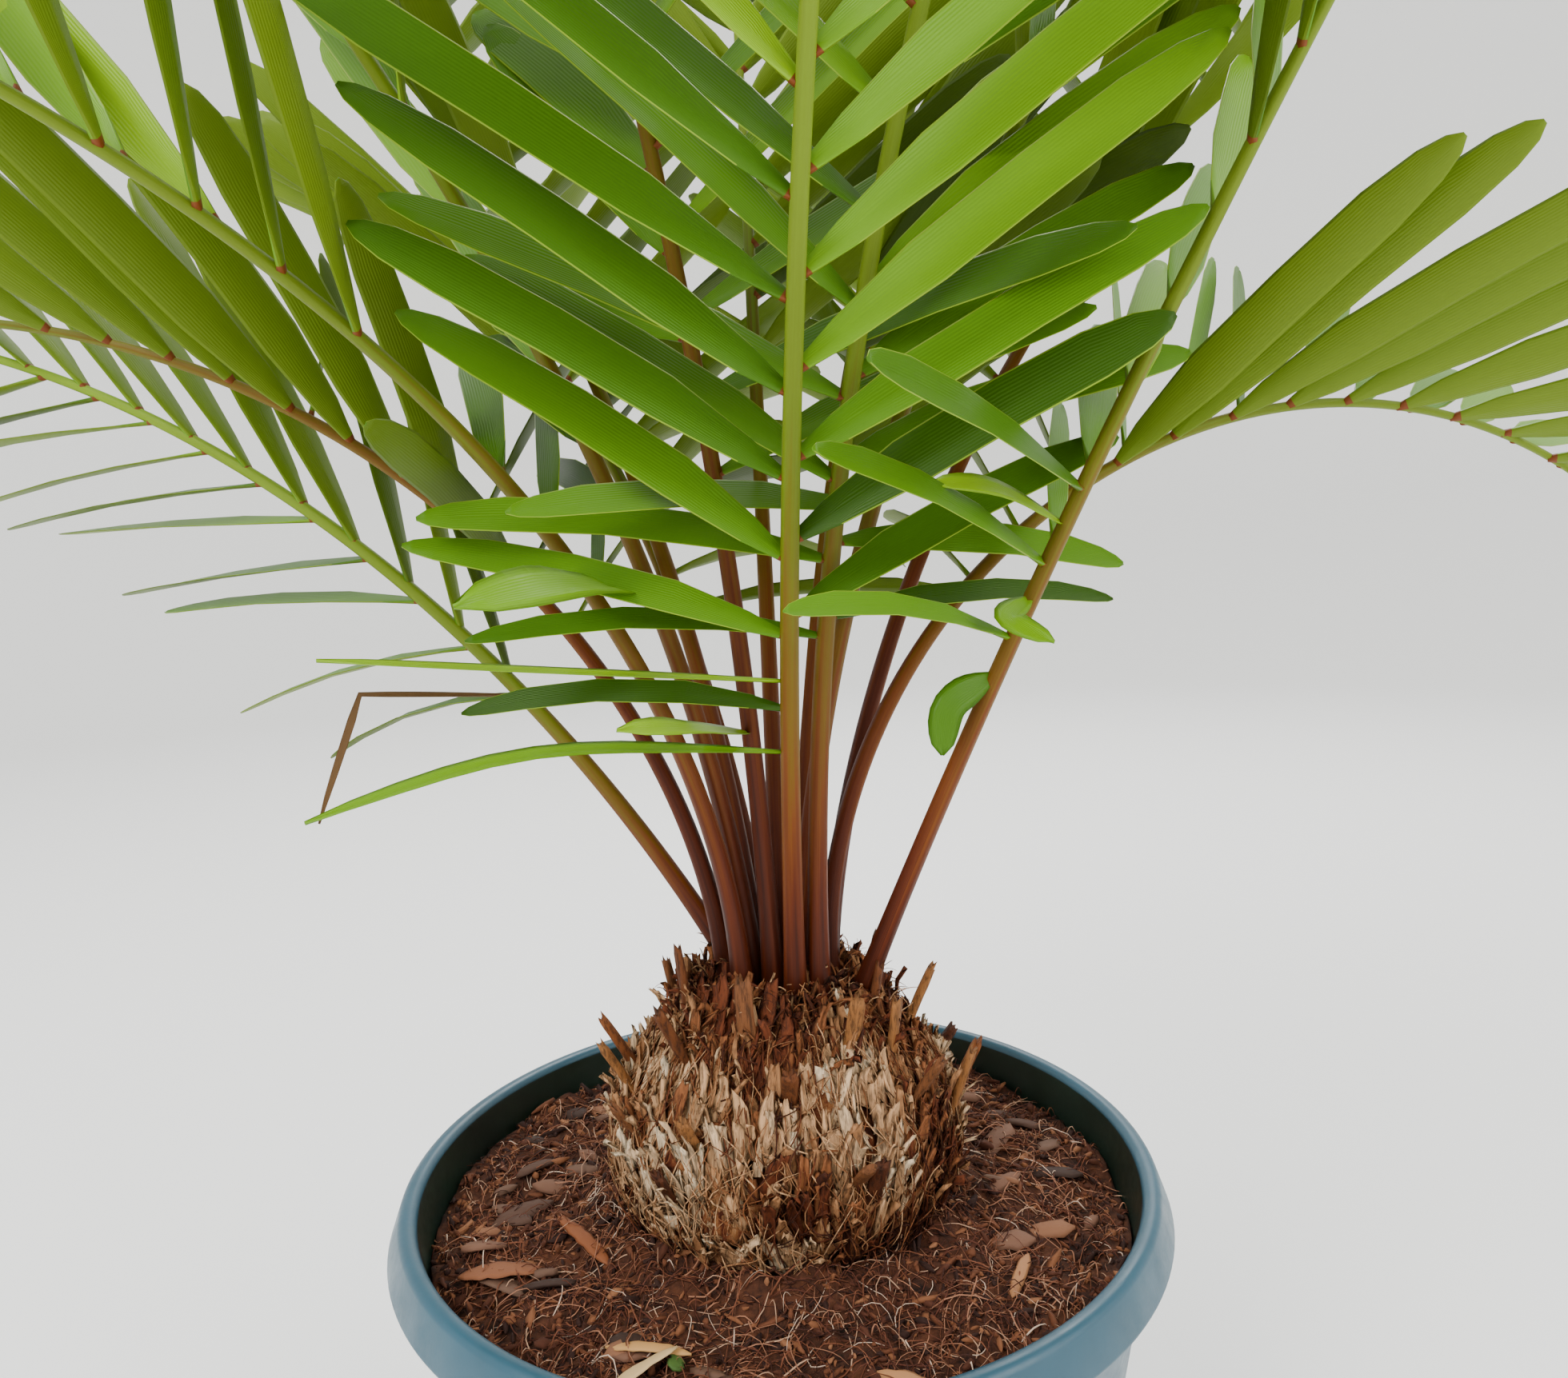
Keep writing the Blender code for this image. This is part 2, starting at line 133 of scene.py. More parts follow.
def compass(angle):
    # the level directions outwards at an angle round the Z axis, and a quarter turn on
    outward = np.stack([np.cos(angle), np.sin(angle), 0 * angle], axis=-1)
    return outward, np.stack([-np.sin(angle), np.cos(angle), 0 * angle], axis=-1)


def ringAngles(around):
    return fullTurn * np.arange(around) / around


def relief(u, v, cellsU, cellsV, seed):
    # soft random heights from 0 to 1: values on a lattice, eased between its points, and round in u
    values = np.random.default_rng(seed).random((cellsU, cellsV + 2))
    x, y = (u % 1.0) * cellsU, np.clip(v, 0, 1) * cellsV
    i, j = np.floor(x).astype(int), np.floor(y).astype(int)
    fx, fy = x - i, y - j
    fx, fy = fx * fx * (3 - 2 * fx), fy * fy * (3 - 2 * fy)
    i, k = i % cellsU, (i + 1) % cellsU
    low = values[i, j] * (1 - fx) + values[k, j] * fx
    high = values[i, j + 1] * (1 - fx) + values[k, j + 1] * fx
    return low * (1 - fy) + high * fy


def closedLoop(rows, around):
    # quads of a tube of rows rings, with a fan at each end round its own middle point
    row, side = np.meshgrid(np.arange(rows - 1), np.arange(around), indexing="ij")
    after = (side + 1) % around
    quads = np.stack([row * around + side, row * around + after,
                      (row + 1) * around + after, (row + 1) * around + side], axis=-1).reshape(-1, 4)
    ring = np.arange(around)
    turned = (ring + 1) % around
    first, last, top = rows * around, rows * around + 1, (rows - 1) * around
    start = np.stack([np.full(around, first), turned, ring], axis=-1)
    end = np.stack([np.full(around, last), top + ring, top + turned], axis=-1)
    return quads, np.vstack([start, end])


def sweep(path, across, face, wide, deep):
    # A closed outline carried along many paths at once: each point is the path's point, plus its
    # across direction times the outline's width there, plus its face direction times its depth.
    points = path[:, :, None] + across[:, :, None] * wide[..., None] + face[:, :, None] * deep[..., None]
    count, rows, around = points.shape[:3]
    caps = np.stack([points[:, 0].mean(axis=1), points[:, -1].mean(axis=1)], axis=1)
    points = np.concatenate([points.reshape(count, rows * around, 3), caps], axis=1)
    quads, triangles = closedLoop(rows, around)
    return points, quads, triangles


def tube(path, side, up, radius, around, start=0.0):
    # a round bar with its own radius at each point of its path
    angle = ringAngles(around) + start
    return sweep(path, side, up, radius * np.cos(angle), radius * np.sin(angle))


def tornEnd(points, around, ahead, tear):
    # the last ring of each swept shape is pulled unevenly along it
    points[:, -2 - around:-2] += ahead[:, None] * tear[..., None]


def sweptUv(u, v):
    # texture places of swept shapes: each end's middle point takes the first or last place on the grid
    uv = np.stack(np.broadcast_arrays(u, v), axis=-1)
    uv = uv.reshape(len(uv), -1, 2)
    return np.concatenate([uv, uv[:, :1], uv[:, -1:]], axis=1)


def turnedShape(profile, sides):
    # a profile of radius and height turned once round the Z axis, and closed over at both ends
    profile = np.array(profile)
    angle = np.linspace(0, fullTurn, sides, endpoint=False)
    rings = np.stack([profile[:, :1] * np.cos(angle), profile[:, :1] * np.sin(angle),
                      np.repeat(profile[:, 1:], sides, axis=1)], axis=-1).reshape(-1, 3)
    middles = [[0, 0, profile[0, 1]], [0, 0, profile[-1, 1]]]
    return (np.vstack([rings, middles])[None], *closedLoop(len(profile), sides))


def makePiece(name, shapes, materials, paint=None, uv=None):
    # Shapes is (count, points, 3) with one set of quads and triangles for every shape. Paint is a
    # material number for each shape, or a pair of arrays for all the quads and all the triangles.
    points, quads, triangles = shapes
    count, size = points.shape[:2]
    shift = np.arange(count)[:, None, None] * size
    allQuads = (quads[None] + shift).reshape(-1, 4)
    allTriangles = (triangles[None] + shift).reshape(-1, 3)
    corners = np.concatenate([allQuads.ravel(), allTriangles.ravel()]).astype(np.int32)
    starts = np.concatenate([np.arange(len(allQuads)) * 4, allQuads.size + np.arange(len(allTriangles)) * 3])
    mesh = bpy.data.meshes.new(name)
    mesh.vertices.add(count * size)
    mesh.vertices.foreach_set("co", points.astype(np.float32).ravel())
    mesh.loops.add(len(corners))
    mesh.loops.foreach_set("vertex_index", corners)
    mesh.polygons.add(len(starts))
    mesh.polygons.foreach_set("loop_start", starts.astype(np.int32))
    mesh.polygons.foreach_set("use_smooth", np.ones(len(starts), bool))
    if paint is not None:
        if not isinstance(paint, tuple):
            paint = np.repeat(paint, len(quads)), np.repeat(paint, len(triangles))
        painted = np.concatenate([numbers.ravel() for numbers in paint])
        mesh.polygons.foreach_set("material_index", painted.astype(np.int32))
    if uv is not None:
        layer = mesh.uv_layers.new(name="UVMap")
        layer.data.foreach_set("uv", uv.reshape(-1, 2)[corners].astype(np.float32).ravel())
    mesh.update(calc_edges=True)
    mesh.validate()
    for made in materials:
        mesh.materials.append(made)
    piece = bpy.data.objects.new(name, mesh)
    bpy.context.scene.collection.objects.link(piece)
    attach(piece, "root")
    print(f"{name}: {len(allQuads) * 2 + len(allTriangles)} triangles")
    return piece


# Pot: injection-moulded polypropylene, a satin blue-green outside, and inside the same plastic in painted
# shade, green-black

pot = {
    "height": 0.260, "mouth": 0.140, "base": 0.104, "wall": 0.0035, "floor": 0.005, "corner": 0.004,
    "collarTop": 0.1475, "collarFoot": 0.1515, "collarDepth": 0.016, "lipRound": 0.0035,
    "neckIn": 0.001, "undercut": 0.002, "sides": 160,
    # each side's colour and the darker one of its mottling; the inside's pair is painted shade
    "outside": ("#204c5e", "#1b4150"), "inside": ("#16281e", "#0e1a13"),
}
collarFootZ = pot["height"] - pot["collarDepth"]


def wallRadius(height):
    outerNeck = pot["mouth"] + pot["wall"] - pot["neckIn"]
    return pot["base"] + (outerNeck - pot["base"]) * height / collarFootZ


def arc(centre, radius, start, end, steps):
    angles = np.radians(np.linspace(start, end, steps))
    return [(centre[0] + radius * math.cos(a), centre[1] + radius * math.sin(a)) for a in angles]


def mouldedPlastic(name, colour, dark):
    # polypropylene from a mould: satin, with faint mottling, dusty scuffs and a very fine orange-peel
    made, tree, shader = startMaterial(name, colour, 0.36, 0.5)
    place = {"Vector": addNode(tree, "ShaderNodeTexCoord").outputs["Object"]}
    cloud = addNode(tree, "ShaderNodeTexNoise", {"Scale": 14.0, "Detail": 5.0, "Roughness": 0.6}, place)
    scuff = addNode(tree, "ShaderNodeTexNoise", {"Scale": 60.0, "Detail": 6.0, "Roughness": 0.7}, place)
    grain = addNode(tree, "ShaderNodeTexNoise", {"Scale": 900.0, "Detail": 2.0}, place)
    blendColours(tree, shader, cloud.outputs["Fac"], [(0.30, dark), (0.62, colour)])
    limits = {"From Min": 0.3, "From Max": 0.75, "To Min": 0.28, "To Max": 0.52}
    rough = addNode(tree, "ShaderNodeMapRange", limits, {"Value": scuff.outputs["Fac"]})
    tree.links.new(rough.outputs["Result"], shader.inputs["Roughness"])
    addBump(tree, shader, grain.outputs["Fac"], 0.12, 0.0002)
    return made


def makePot():
    # the outline runs from the underside up the wall, round the collar and down the inside to the floor
    neck, lip, undercut = wallRadius(collarFootZ), pot["lipRound"], pot["undercut"]
    mouth, floor, lipZ = pot["mouth"], pot["floor"], pot["height"] - lip
    profile = arc((pot["base"] - pot["corner"], pot["corner"]), pot["corner"], -90, -8, 6)
    profile += [(wallRadius(z), z) for z in np.linspace(0.01, collarFootZ - 3 * undercut, 12)]
    profile += [(neck, collarFootZ + undercut), (neck + undercut, collarFootZ + undercut / 10)]
    profile += arc((pot["collarFoot"] - lip / 2, collarFootZ + lip / 2), lip / 2, -90, 15, 7)
    profile += arc((pot["collarTop"] - lip, lipZ), lip, 20, 90, 8)
    profile += arc((mouth + lip, lipZ), lip, 90, 180, 8)
    outsideRows = len(profile) - 2
    floorRadius = wallRadius(floor) - pot["wall"]
    profile += [(mouth + (floorRadius - mouth) * share, lipZ + (floor - lipZ) * share)
                for share in np.linspace(0.05, 0.95, 10)]
    profile.append((floorRadius, floor))
    insideRows = len(profile) - 1 - outsideRows
    sides = pot["sides"]
    paint = np.repeat([0] * outsideRows + [1] * insideRows, sides), np.zeros(2 * sides)
    # the second material is the inside: the same plastic finish with a painted-shade green-black as its
    # colour
    stuff = [mouldedPlastic("pot_plastic_outside", *pot["outside"]),
             mouldedPlastic("pot_inside_painted_shade", *pot["inside"])]
    piece = makePiece("potShell", turnedShape(profile, sides), stuff, paint)
    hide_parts("pot")


makePot()
print("pot made")


# Camera at the photograph's viewing angle, and plain soft studio light

cameraPlace = {
    "location": (0.009, -0.456, 0.5055), "tiltDown": 7.19, "roll": 2.19, "lens": 27.55, "sensor": 36,
    "nearest": 0.02, "image": (1960, 1723),
}


def cameraAxes():
    tilt, roll = math.radians(cameraPlace["tiltDown"]), math.radians(cameraPlace["roll"])
    ahead = np.array([0.0, math.cos(tilt), -math.sin(tilt)])
    level = np.array([0.0, math.sin(tilt), math.cos(tilt)])
    side = np.array([1.0, 0.0, 0.0])
    right = side * math.cos(roll) - level * math.sin(roll)
    up = side * math.sin(roll) + level * math.cos(roll)
    return right, up, ahead


def makeCamera():
    right, up, ahead = cameraAxes()
    camera = bpy.data.objects.new("camera", bpy.data.cameras.new("camera"))
    bpy.context.scene.collection.objects.link(camera)
    turn = Matrix((right, up, -ahead)).transposed().to_4x4()
    camera.matrix_world = Matrix.Translation(cameraPlace["location"]) @ turn
    camera.data.sensor_width = cameraPlace["sensor"]
    camera.data.lens = cameraPlace["lens"]
    camera.data.clip_start = cameraPlace["nearest"]
    bpy.context.scene.camera = camera


studio = {
    "floorColour": "#f3f3f1", "skyColour": "#ffffff", "skyStrength": 1.0, "aim": (0.0, 0.0, 0.45),
    "middleRadius": 0.4, "floorRadius": 5.0, "bend": 1.5, "wallHeight": 5.0, "sides": 96,
    "lamps": [
        {"name": "key", "place": (-1.6, -1.9, 2.6), "size": 1.6, "power": 125},
        {"name": "fill", "place": (2.0, -1.3, 1.6), "size": 1.8, "power": 45},
        {"name": "back", "place": (0.6, 2.0, 2.8), "size": 1.6, "power": 75},
    ],
}


def makeBackdrop():
    # matt paint on a floor that bends up into a wall all round, with its faces inwards and its top open
    paint, tree, shader = startMaterial("backdrop_paint", studio["floorColour"], 0.9, 0.5)
    place = addNode(tree, "ShaderNodeTexCoord")
    cloud = addNode(tree, "ShaderNodeTexNoise", {"Scale": 3.0}, {"Vector": place.outputs["Object"]})
    addBump(tree, shader, cloud.outputs["Fac"], 0.02, 0.001)
    radius, bend, sides = studio["floorRadius"], studio["bend"], studio["sides"]
    profile = [(studio["middleRadius"], 0.0)] + arc((radius - bend, bend), bend, -90, 0, 16)
    profile.append((radius, studio["wallHeight"]))
    points, quads, fans = turnedShape(profile, sides)
    mesh = bpy.data.meshes.new("studioFloor")
    faces = [tuple(face[::-1]) for face in quads.tolist() + fans[:sides].tolist()]
    mesh.from_pydata(points[0, :-1].tolist(), [], faces)
    mesh.shade_smooth()
    mesh.materials.append(paint)
    floor = bpy.data.objects.new("studioFloor", mesh)
    bpy.context.scene.collection.objects.link(floor)


def makeLight():
    world = bpy.data.worlds.new("studioSky")
    world.use_nodes = True
    sky = world.node_tree.nodes["Background"]
    sky.inputs["Color"].default_value = linear(studio["skyColour"])
    sky.inputs["Strength"].default_value = studio["skyStrength"]
    bpy.context.scene.world = world
    for lamp in studio["lamps"]:
        light = bpy.data.lights.new(lamp["name"], "AREA")
        light.size = lamp["size"]
        light.energy = lamp["power"]
        thing = bpy.data.objects.new(lamp["name"], light)
        aim = np.array(studio["aim"]) - np.array(lamp["place"])
        thing.rotation_mode = "QUATERNION"
        thing.rotation_quaternion = Vector(aim).to_track_quat("-Z", "Y")
        thing.location = lamp["place"]
        bpy.context.scene.collection.objects.link(thing)


makeCamera()
makeBackdrop()
makeLight()
print("camera and studio made")


# The stem's measures, which the soil and the fronds share

caudex = {
    "centre": (0.003, 0.000), "topZ": 0.328, "footZ": 0.2433, "footRadius": 0.061, "bellyRadius": 0.067,
    "bellyShare": 0.33, "crownRadius": 0.038, "crownPower": 2.4, "across": 0.13,
    "around": 320, "rings": 110, "bodyIn": 0.0022, "dome": (0.94, 0.84, 0.72, 0.55, 0.35, 0.12),
    "drawnIn": 0.0015, "shoulderIn": 0.009, "shoulderShare": 0.86, "shoulderReach": 0.22,
    "domeRadius": 0.037, "domeFoot": 0.012, "crownRise": 0.010, "crownSink": 0.002,
    # cells round and up, seed and depth of each layer of relief, and how far and how often it sways
    "layers": [(22, 4, 31, 0.0075, 0.03, 7), (76, 8, 32, 0.0048, 0.02, 9), (300, 26, 33, 0.0018, 0, 0)],
}
caudexMiddle = np.array([*caudex["centre"], 0.0])
caudexHeight = caudex["topZ"] - caudex["footZ"]


def barrelRadius(share):
    # a sine from the foot out to the belly, and a flattened arch from the belly in to the crown
    belly, bellyRadius = caudex["bellyShare"], caudex["bellyRadius"]
    rise = np.sin(0.5 * math.pi * np.clip(share / belly, 0, 1))
    lower = caudex["footRadius"] + (bellyRadius - caudex["footRadius"]) * rise
    fall = np.clip((share - belly) / (1 - belly), 0, 1)
    arch = np.sqrt(1 - fall ** caudex["crownPower"])
    upper = caudex["crownRadius"] + (bellyRadius - caudex["crownRadius"]) * arch
    return np.where(share < belly, lower, upper)


def onBarrel(angle, share, out=0.0):
    # a point on the stem's surface, at an angle round it and a share of its height; the shoulder is
    # drawn in a little, since the fibres that lie on it fill it out again
    shoulder = np.exp(-((share - caudex["shoulderShare"]) / caudex["shoulderReach"]) ** 2)
    radius = barrelRadius(share) + out - (caudex["drawnIn"] + caudex["shoulderIn"] * shoulder)
    x = caudex["centre"][0] + radius * np.cos(angle)
    y = caudex["centre"][1] + radius * np.sin(angle)
    return np.stack([x, y, caudex["footZ"] + share * caudexHeight + 0 * angle], axis=-1)


# Soil: damp peat with coir-like fibres, crumbs, bark chips and a few dead leaflets

soil = {
    "edgeZ": 0.240, "moundZ": 0.243, "moundRadius": 0.078, "wallRadius": 0.1362, "bottomZ": 0.0053,
    "backRise": 0.005, "backAt": 0.13, "gap": 0.0006, "rings": 84, "sides": 300, "lumps": 0.0034,
    "footHeap": 0.010, "footRadius": 0.087, "footWidth": 0.022, "square": 0.3,
    # lattice cells, seed and share of each layer of lumps on a square that holds the soil
    "layers": [(14, 3, 1.6), (44, 4, 0.9), (130, 5, 0.45)], "heapCells": 26, "heapSeed": 6,
    "colour": "#55301d", "dark": "#180b06",
}


def soilHeight(x, y):
    # level at the wall, heaped towards the stem and a little higher behind it, with soft lumps
    wall, mound = soil["wallRadius"], soil["moundRadius"]
    share = np.clip((wall - np.hypot(x, y)) / (wall - mound), 0, 1)
    heap = soil["edgeZ"] + (soil["moundZ"] - soil["edgeZ"]) * (0.5 - 0.5 * np.cos(math.pi * share))
    heap = heap + soil["backRise"] * np.clip(y / soil["backAt"], -0.4, 1)
    u, v = x / soil["square"] + 0.5, y / soil["square"] + 0.5
    lumps = sum((relief(u, v, cells, cells, seed) - 0.5) * part for cells, seed, part in soil["layers"])
    fromStem = np.hypot(x - caudex["centre"][0], y - caudex["centre"][1])
    near = np.clip((soil["footRadius"] - fromStem) / soil["footWidth"], 0, 1)
    uneven = 0.35 + 0.9 * relief(u, v, soil["heapCells"], soil["heapCells"], soil["heapSeed"])
    return heap + soil["footHeap"] * near ** 1.5 * uneven + soil["lumps"] * lumps


def onSoil(x, y, above):
    return np.stack([x, y, soilHeight(x, y) + above], axis=-1)


def peat(name, colour, dark):
    # damp peat: matt and crumbly, so it has coarse and fine noise and almost no shine
    noise = {"Scale": 95.0, "Detail": 8.0, "Roughness": 0.72}
    finish = {"roughness": 0.92, "shine": 0.25, "squeeze": 1.0, "noise": noise, "bump": (0.9, 0.0012)}
    return plantMatter(name, colour, finish, [(0.36, dark), (0.64, colour)])


def makeSoilBody():
    # rings of a small and a full radius below, and the lumpy surface from the wall to the middle above
    sides, bottomZ = soil["sides"], soil["bottomZ"]
    radius = np.linspace(0.03, 1.0, soil["rings"])[:, None] * soil["wallRadius"]
    angle = np.linspace(0, fullTurn, sides, endpoint=False)
    top = onSoil(radius * np.cos(angle), radius * np.sin(angle), 0.0)[::-1]
    below = np.array([0.02, wallRadius(bottomZ) - pot["wall"] - soil["gap"]])
    floor = compass(angle)[0] * below[:, None, None] + np.array([0, 0, bottomZ])
    points = np.concatenate([floor, top])
    caps = [[0, 0, bottomZ], [0, 0, soil["moundZ"]]]
    shapes = (np.vstack([points.reshape(-1, 3), caps])[None], *closedLoop(len(points), sides))
    piece = makePiece("peatSoil", shapes, [peat("peat", soil["colour"], soil["dark"])])
    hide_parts("soil")


def scatter(count, chance, inner, outer):
    # even places over the ring of soil between the stem and the pot's wall
    radius = np.sqrt(chance.uniform(inner ** 2, outer ** 2, count))
    angle = chance.uniform(0, fullTurn, count)
    return radius * np.cos(angle), radius * np.sin(angle)


def lumpShapes(centre, size, chance, around=5):
    # splinters and lumps: rings of uneven radius along an axis that lies in any direction, mostly flat
    count, ring = len(centre), np.array([0.45, 1.0, 0.9, 0.35])[:, None]
    along = unit(chance.normal(size=(count, 3)) * np.array([1, 1, 0.45]))
    side = unit(np.cross(along, chance.normal(size=(count, 3))))
    size = size[:, None, None]
    step = np.linspace(-1, 1, len(ring))[:, None]
    longer = chance.uniform(0.7, 3.0, (count, 1, 1))
    path = centre[:, None] + along[:, None] * (step * size * longer)
    uneven = chance.uniform(0.45, 1.25, (count, len(ring), around))
    angle = ringAngles(around)
    wide, deep = ring * np.cos(angle) * uneven * size, ring * np.sin(angle) * uneven * size * 0.7
    return sweep(path, side[:, None], np.cross(along, side)[:, None], wide, deep)


crumbs = {
    "seed": 21, "count": 4600, "between": (0.060, 0.135), "size": (0.0005, 0.0019),
    "colours": ["#472414", "#5e351f", "#75482c", "#29130b", "#86583a"],
    "shares": [0.3, 0.25, 0.15, 0.24, 0.06],
}


def makeCrumbs():
    chance = np.random.default_rng(crumbs["seed"])
    x, y = scatter(crumbs["count"], chance, *crumbs["between"])
    size = chance.uniform(*crumbs["size"], len(x)) * (0.6 + 0.8 * chance.random(len(x)) ** 3)
    stuff = shades(plainMatt, "peat_crumb", crumbs["colours"])
    picks = chance.choice(len(stuff), len(x), p=crumbs["shares"])
    makePiece("peatCrumbs", lumpShapes(onSoil(x, y, size * 0.3), size, chance), stuff, picks)


def strandShapes(start, heading, length, arch, thick, chance, curl, lift=None, rows=6):
    # thin round strands: each heads off level, bends sideways, and rises and falls by its arch
    count = len(start)
    step = np.linspace(0, 1, rows)[None]
    turn = heading[:, None] + curl * chance.normal(size=(count, 1)) * step
    run = np.stack([np.cos(turn), np.sin(turn)], axis=-1) * (length[:, None, None] / (rows - 1))
    level = start[:, None, :2] + (np.cumsum(run, axis=1) - run[:, :1])
    if lift is None:
        ground = soilHeight(level[..., 0], level[..., 1])
    else:
        ground = start[:, 2:] + lift[:, None] * step
    rise = ground + 0.0006 + arch[:, None] * np.sin(math.pi * step)
    path = np.concatenate([level, rise[..., None]], axis=-1)
    along = unit(np.gradient(path, axis=1))
    side = unit(np.cross(along, np.array([0.02, 0.03, 1.0])))
    taper = (1.0 - 0.6 * step ** 2)[..., None] * thick[:, None, None]
    return tube(path, side, np.cross(side, along), taper, 3)


fibres = {
    "seed": 22, "count": 4600, "between": (0.062, 0.134), "length": (0.004, 0.022), "shortest": 0.004,
    "thick": (0.00012, 0.00034), "arch": (0.0, 0.0045), "arched": 0.6, "curl": 1.3, "outermost": 0.135,
    "colours": ["#94644a", "#b38c70", "#704029", "#52291a", "#cbb09a", "#371a10"],
    "shares": [0.2, 0.09, 0.26, 0.24, 0.04, 0.17],
}


def makeFibres():
    chance = np.random.default_rng(fibres["seed"])
    x, y = scatter(fibres["count"], chance, *fibres["between"])
    length = chance.uniform(*fibres["length"], len(x)) * (0.5 + chance.random(len(x)))
    length = np.where(np.hypot(x, y) + length * 0.6 > fibres["outermost"], fibres["shortest"], length)
    start = np.stack([x, y, 0 * x], axis=-1)
    thick = chance.uniform(*fibres["thick"], len(x))
    arch = chance.uniform(*fibres["arch"], len(x)) * (chance.random(len(x)) < fibres["arched"])
    stuff = shades(plainMatt, "peat_fibre", fibres["colours"], 0.8)
    picks = chance.choice(len(stuff), len(x), p=fibres["shares"])
    heading = chance.uniform(0, fullTurn, len(x))
    shapes = strandShapes(start, heading, length, arch, thick, chance, fibres["curl"])
    makePiece("peatFibres", shapes, stuff, picks)


# for each corner of a thin sheet's eight-sided outline: 1 on the upper side, -1 below, 0 at the edges
sheetSides = np.array([0, 1, 1, 1, 0, -1, -1, -1])


def flatShapes(centre, heading, tilt, length, width, thick, chance, rows=6, bend=0.12, point=0.5):
    # flat chips and dry leaflets: a thin slab along a heading, narrower at both ends and slightly bent
    count = len(centre)
    step = np.linspace(-1, 1, rows)[None, :, None]
    outward, side = compass(heading)
    along = outward * np.cos(tilt)[:, None] + np.array([0, 0, 1.0]) * np.sin(tilt)[:, None]
    roll = chance.normal(size=(count, 1)) * 0.25
    up = np.cross(along, side)
    side, up = side * np.cos(roll) + up * np.sin(roll), up * np.cos(roll) - side * np.sin(roll)
    half = length[:, None, None] * 0.5
    path = centre[:, None] + along[:, None] * step * half - up[:, None] * (bend * half * step ** 2)
    narrow = (1 - step ** 2) ** point * 0.9 + 0.1
    ragged = chance.uniform(0.8, 1.15, (count, rows, 1))
    wide = np.array([-1, -0.55, 0.1, 0.7, 1, 0.6, 0, -0.6]) * narrow * ragged * width[:, None, None] * 0.5
    deep = np.array([0, 1, 1.1, 0.9, 0, -0.9, -1, -1]) * thick[:, None, None] * 0.5 + 0 * ragged
    return sweep(path, side[:, None], up[:, None], wide, deep)


chips = {
    "seed": 23, "count": 46, "between": (0.078, 0.124), "length": (0.008, 0.020), "above": 0.0016,
    "width": (0.35, 0.6), "heading": (-0.6, 0.9), "tilt": 0.16, "thick": (0.0014, 0.0030),
    "colours": ["#4a3226", "#5d4334", "#33221a", "#7a5138", "#6b4a38"],
    # the larger ones, where the photo shows them
    "shown": [(-0.103, -0.008), (-0.093, 0.010), (-0.112, -0.030), (-0.100, -0.052), (-0.084, 0.020),
              (0.100, -0.030), (0.112, 0.006), (0.092, 0.030)],
    "shownLength": (0.018, 0.026),
}


def makeChips():
    chance = np.random.default_rng(chips["seed"])
    shown = np.array(chips["shown"])
    x, y = np.hstack([shown.T, scatter(chips["count"], chance, *chips["between"])])
    count = len(x)
    length = chance.uniform(*chips["length"], count)
    length[:len(shown)] = chance.uniform(*chips["shownLength"], len(shown))
    width = length * chance.uniform(*chips["width"], count)
    stuff = shades(plainMatt, "bark_chip", chips["colours"], 0.75, 130.0, 0.7)
    picks = chance.integers(0, len(stuff), count)
    heading = chance.uniform(*chips["heading"], count)
    tilt = chance.normal(size=count) * chips["tilt"]
    thick = chance.uniform(*chips["thick"], count)
    centre = onSoil(x, y, chips["above"])
    shapes = flatShapes(centre, heading, tilt, length, width, thick, chance, point=0.25)
    makePiece("barkChips", shapes, stuff, picks)


# Litter that the photo shows: place on the soil, heading in degrees, length, width and colour
litterLook = {"seed": 24, "above": 0.0034, "thick": 0.0009, "tilt": 0.14, "rows": 12, "bend": 0.10}
litter = [
    (-0.050, -0.107, 38, 0.040, 0.0075, "#c9a877"),
    (-0.044, -0.092, -14, 0.030, 0.0060, "#b98a52"),
    (0.044, -0.110, -22, 0.030, 0.0075, "#a8764c"),
    (-0.075, -0.032, -52, 0.040, 0.0060, "#7a4526"),
    (-0.103, -0.046, 10, 0.030, 0.0150, "#7b4a2d"),
    (-0.034, -0.099, 80, 0.007, 0.0060, "#3f5a24"),
    (0.085, -0.060, 65, 0.024, 0.0050, "#9a6a45"),
    (0.060, 0.090, 20, 0.034, 0.0070, "#b0824f"),
    (-0.070, 0.085, 130, 0.032, 0.0070, "#a67a4d"),
]


def makeLitter():
    chance = np.random.default_rng(litterLook["seed"])
    x, y, heading, length, width = np.array([item[:-1] for item in litter]).T
    stuff = shades(plainMatt, "dry_leaf", [item[-1] for item in litter], 0.7)
    tilt = chance.normal(size=len(litter)) * litterLook["tilt"]
    thick = np.full(len(litter), litterLook["thick"])
    centre = onSoil(x, y, litterLook["above"])
    shapes = flatShapes(centre, np.radians(heading), tilt, length, width, thick, chance,
                        litterLook["rows"], litterLook["bend"])
    makePiece("soilLitter", shapes, stuff, np.arange(len(litter)))


makeSoilBody()
makeCrumbs()
makeFibres()
makeChips()
makeLitter()
print("soil made")


# Stem: a swollen caudex wrapped in layers of papery bark over dark red-brown leaf bases

barkColours = ["#d8b48c", "#c4986e", "#a5744c", "#85502e", "#66321a", "#45200f", "#e4caa6"]


def bark(name, colour, roughness=0.82):
    # papery cycad bark: dry and matt, with upright fibres about a millimetre wide and dirt between them
    finish = {"roughness": roughness, "shine": 0.2, "squeeze": 0.12, "bump": (0.9, 0.0008),
              "noise": {"Scale": 700.0, "Detail": 5.0, "Roughness": 0.7}}
    return plantMatter(name, colour, finish, [(0.38, darker(colour, 0.62)), (0.54, colour)])


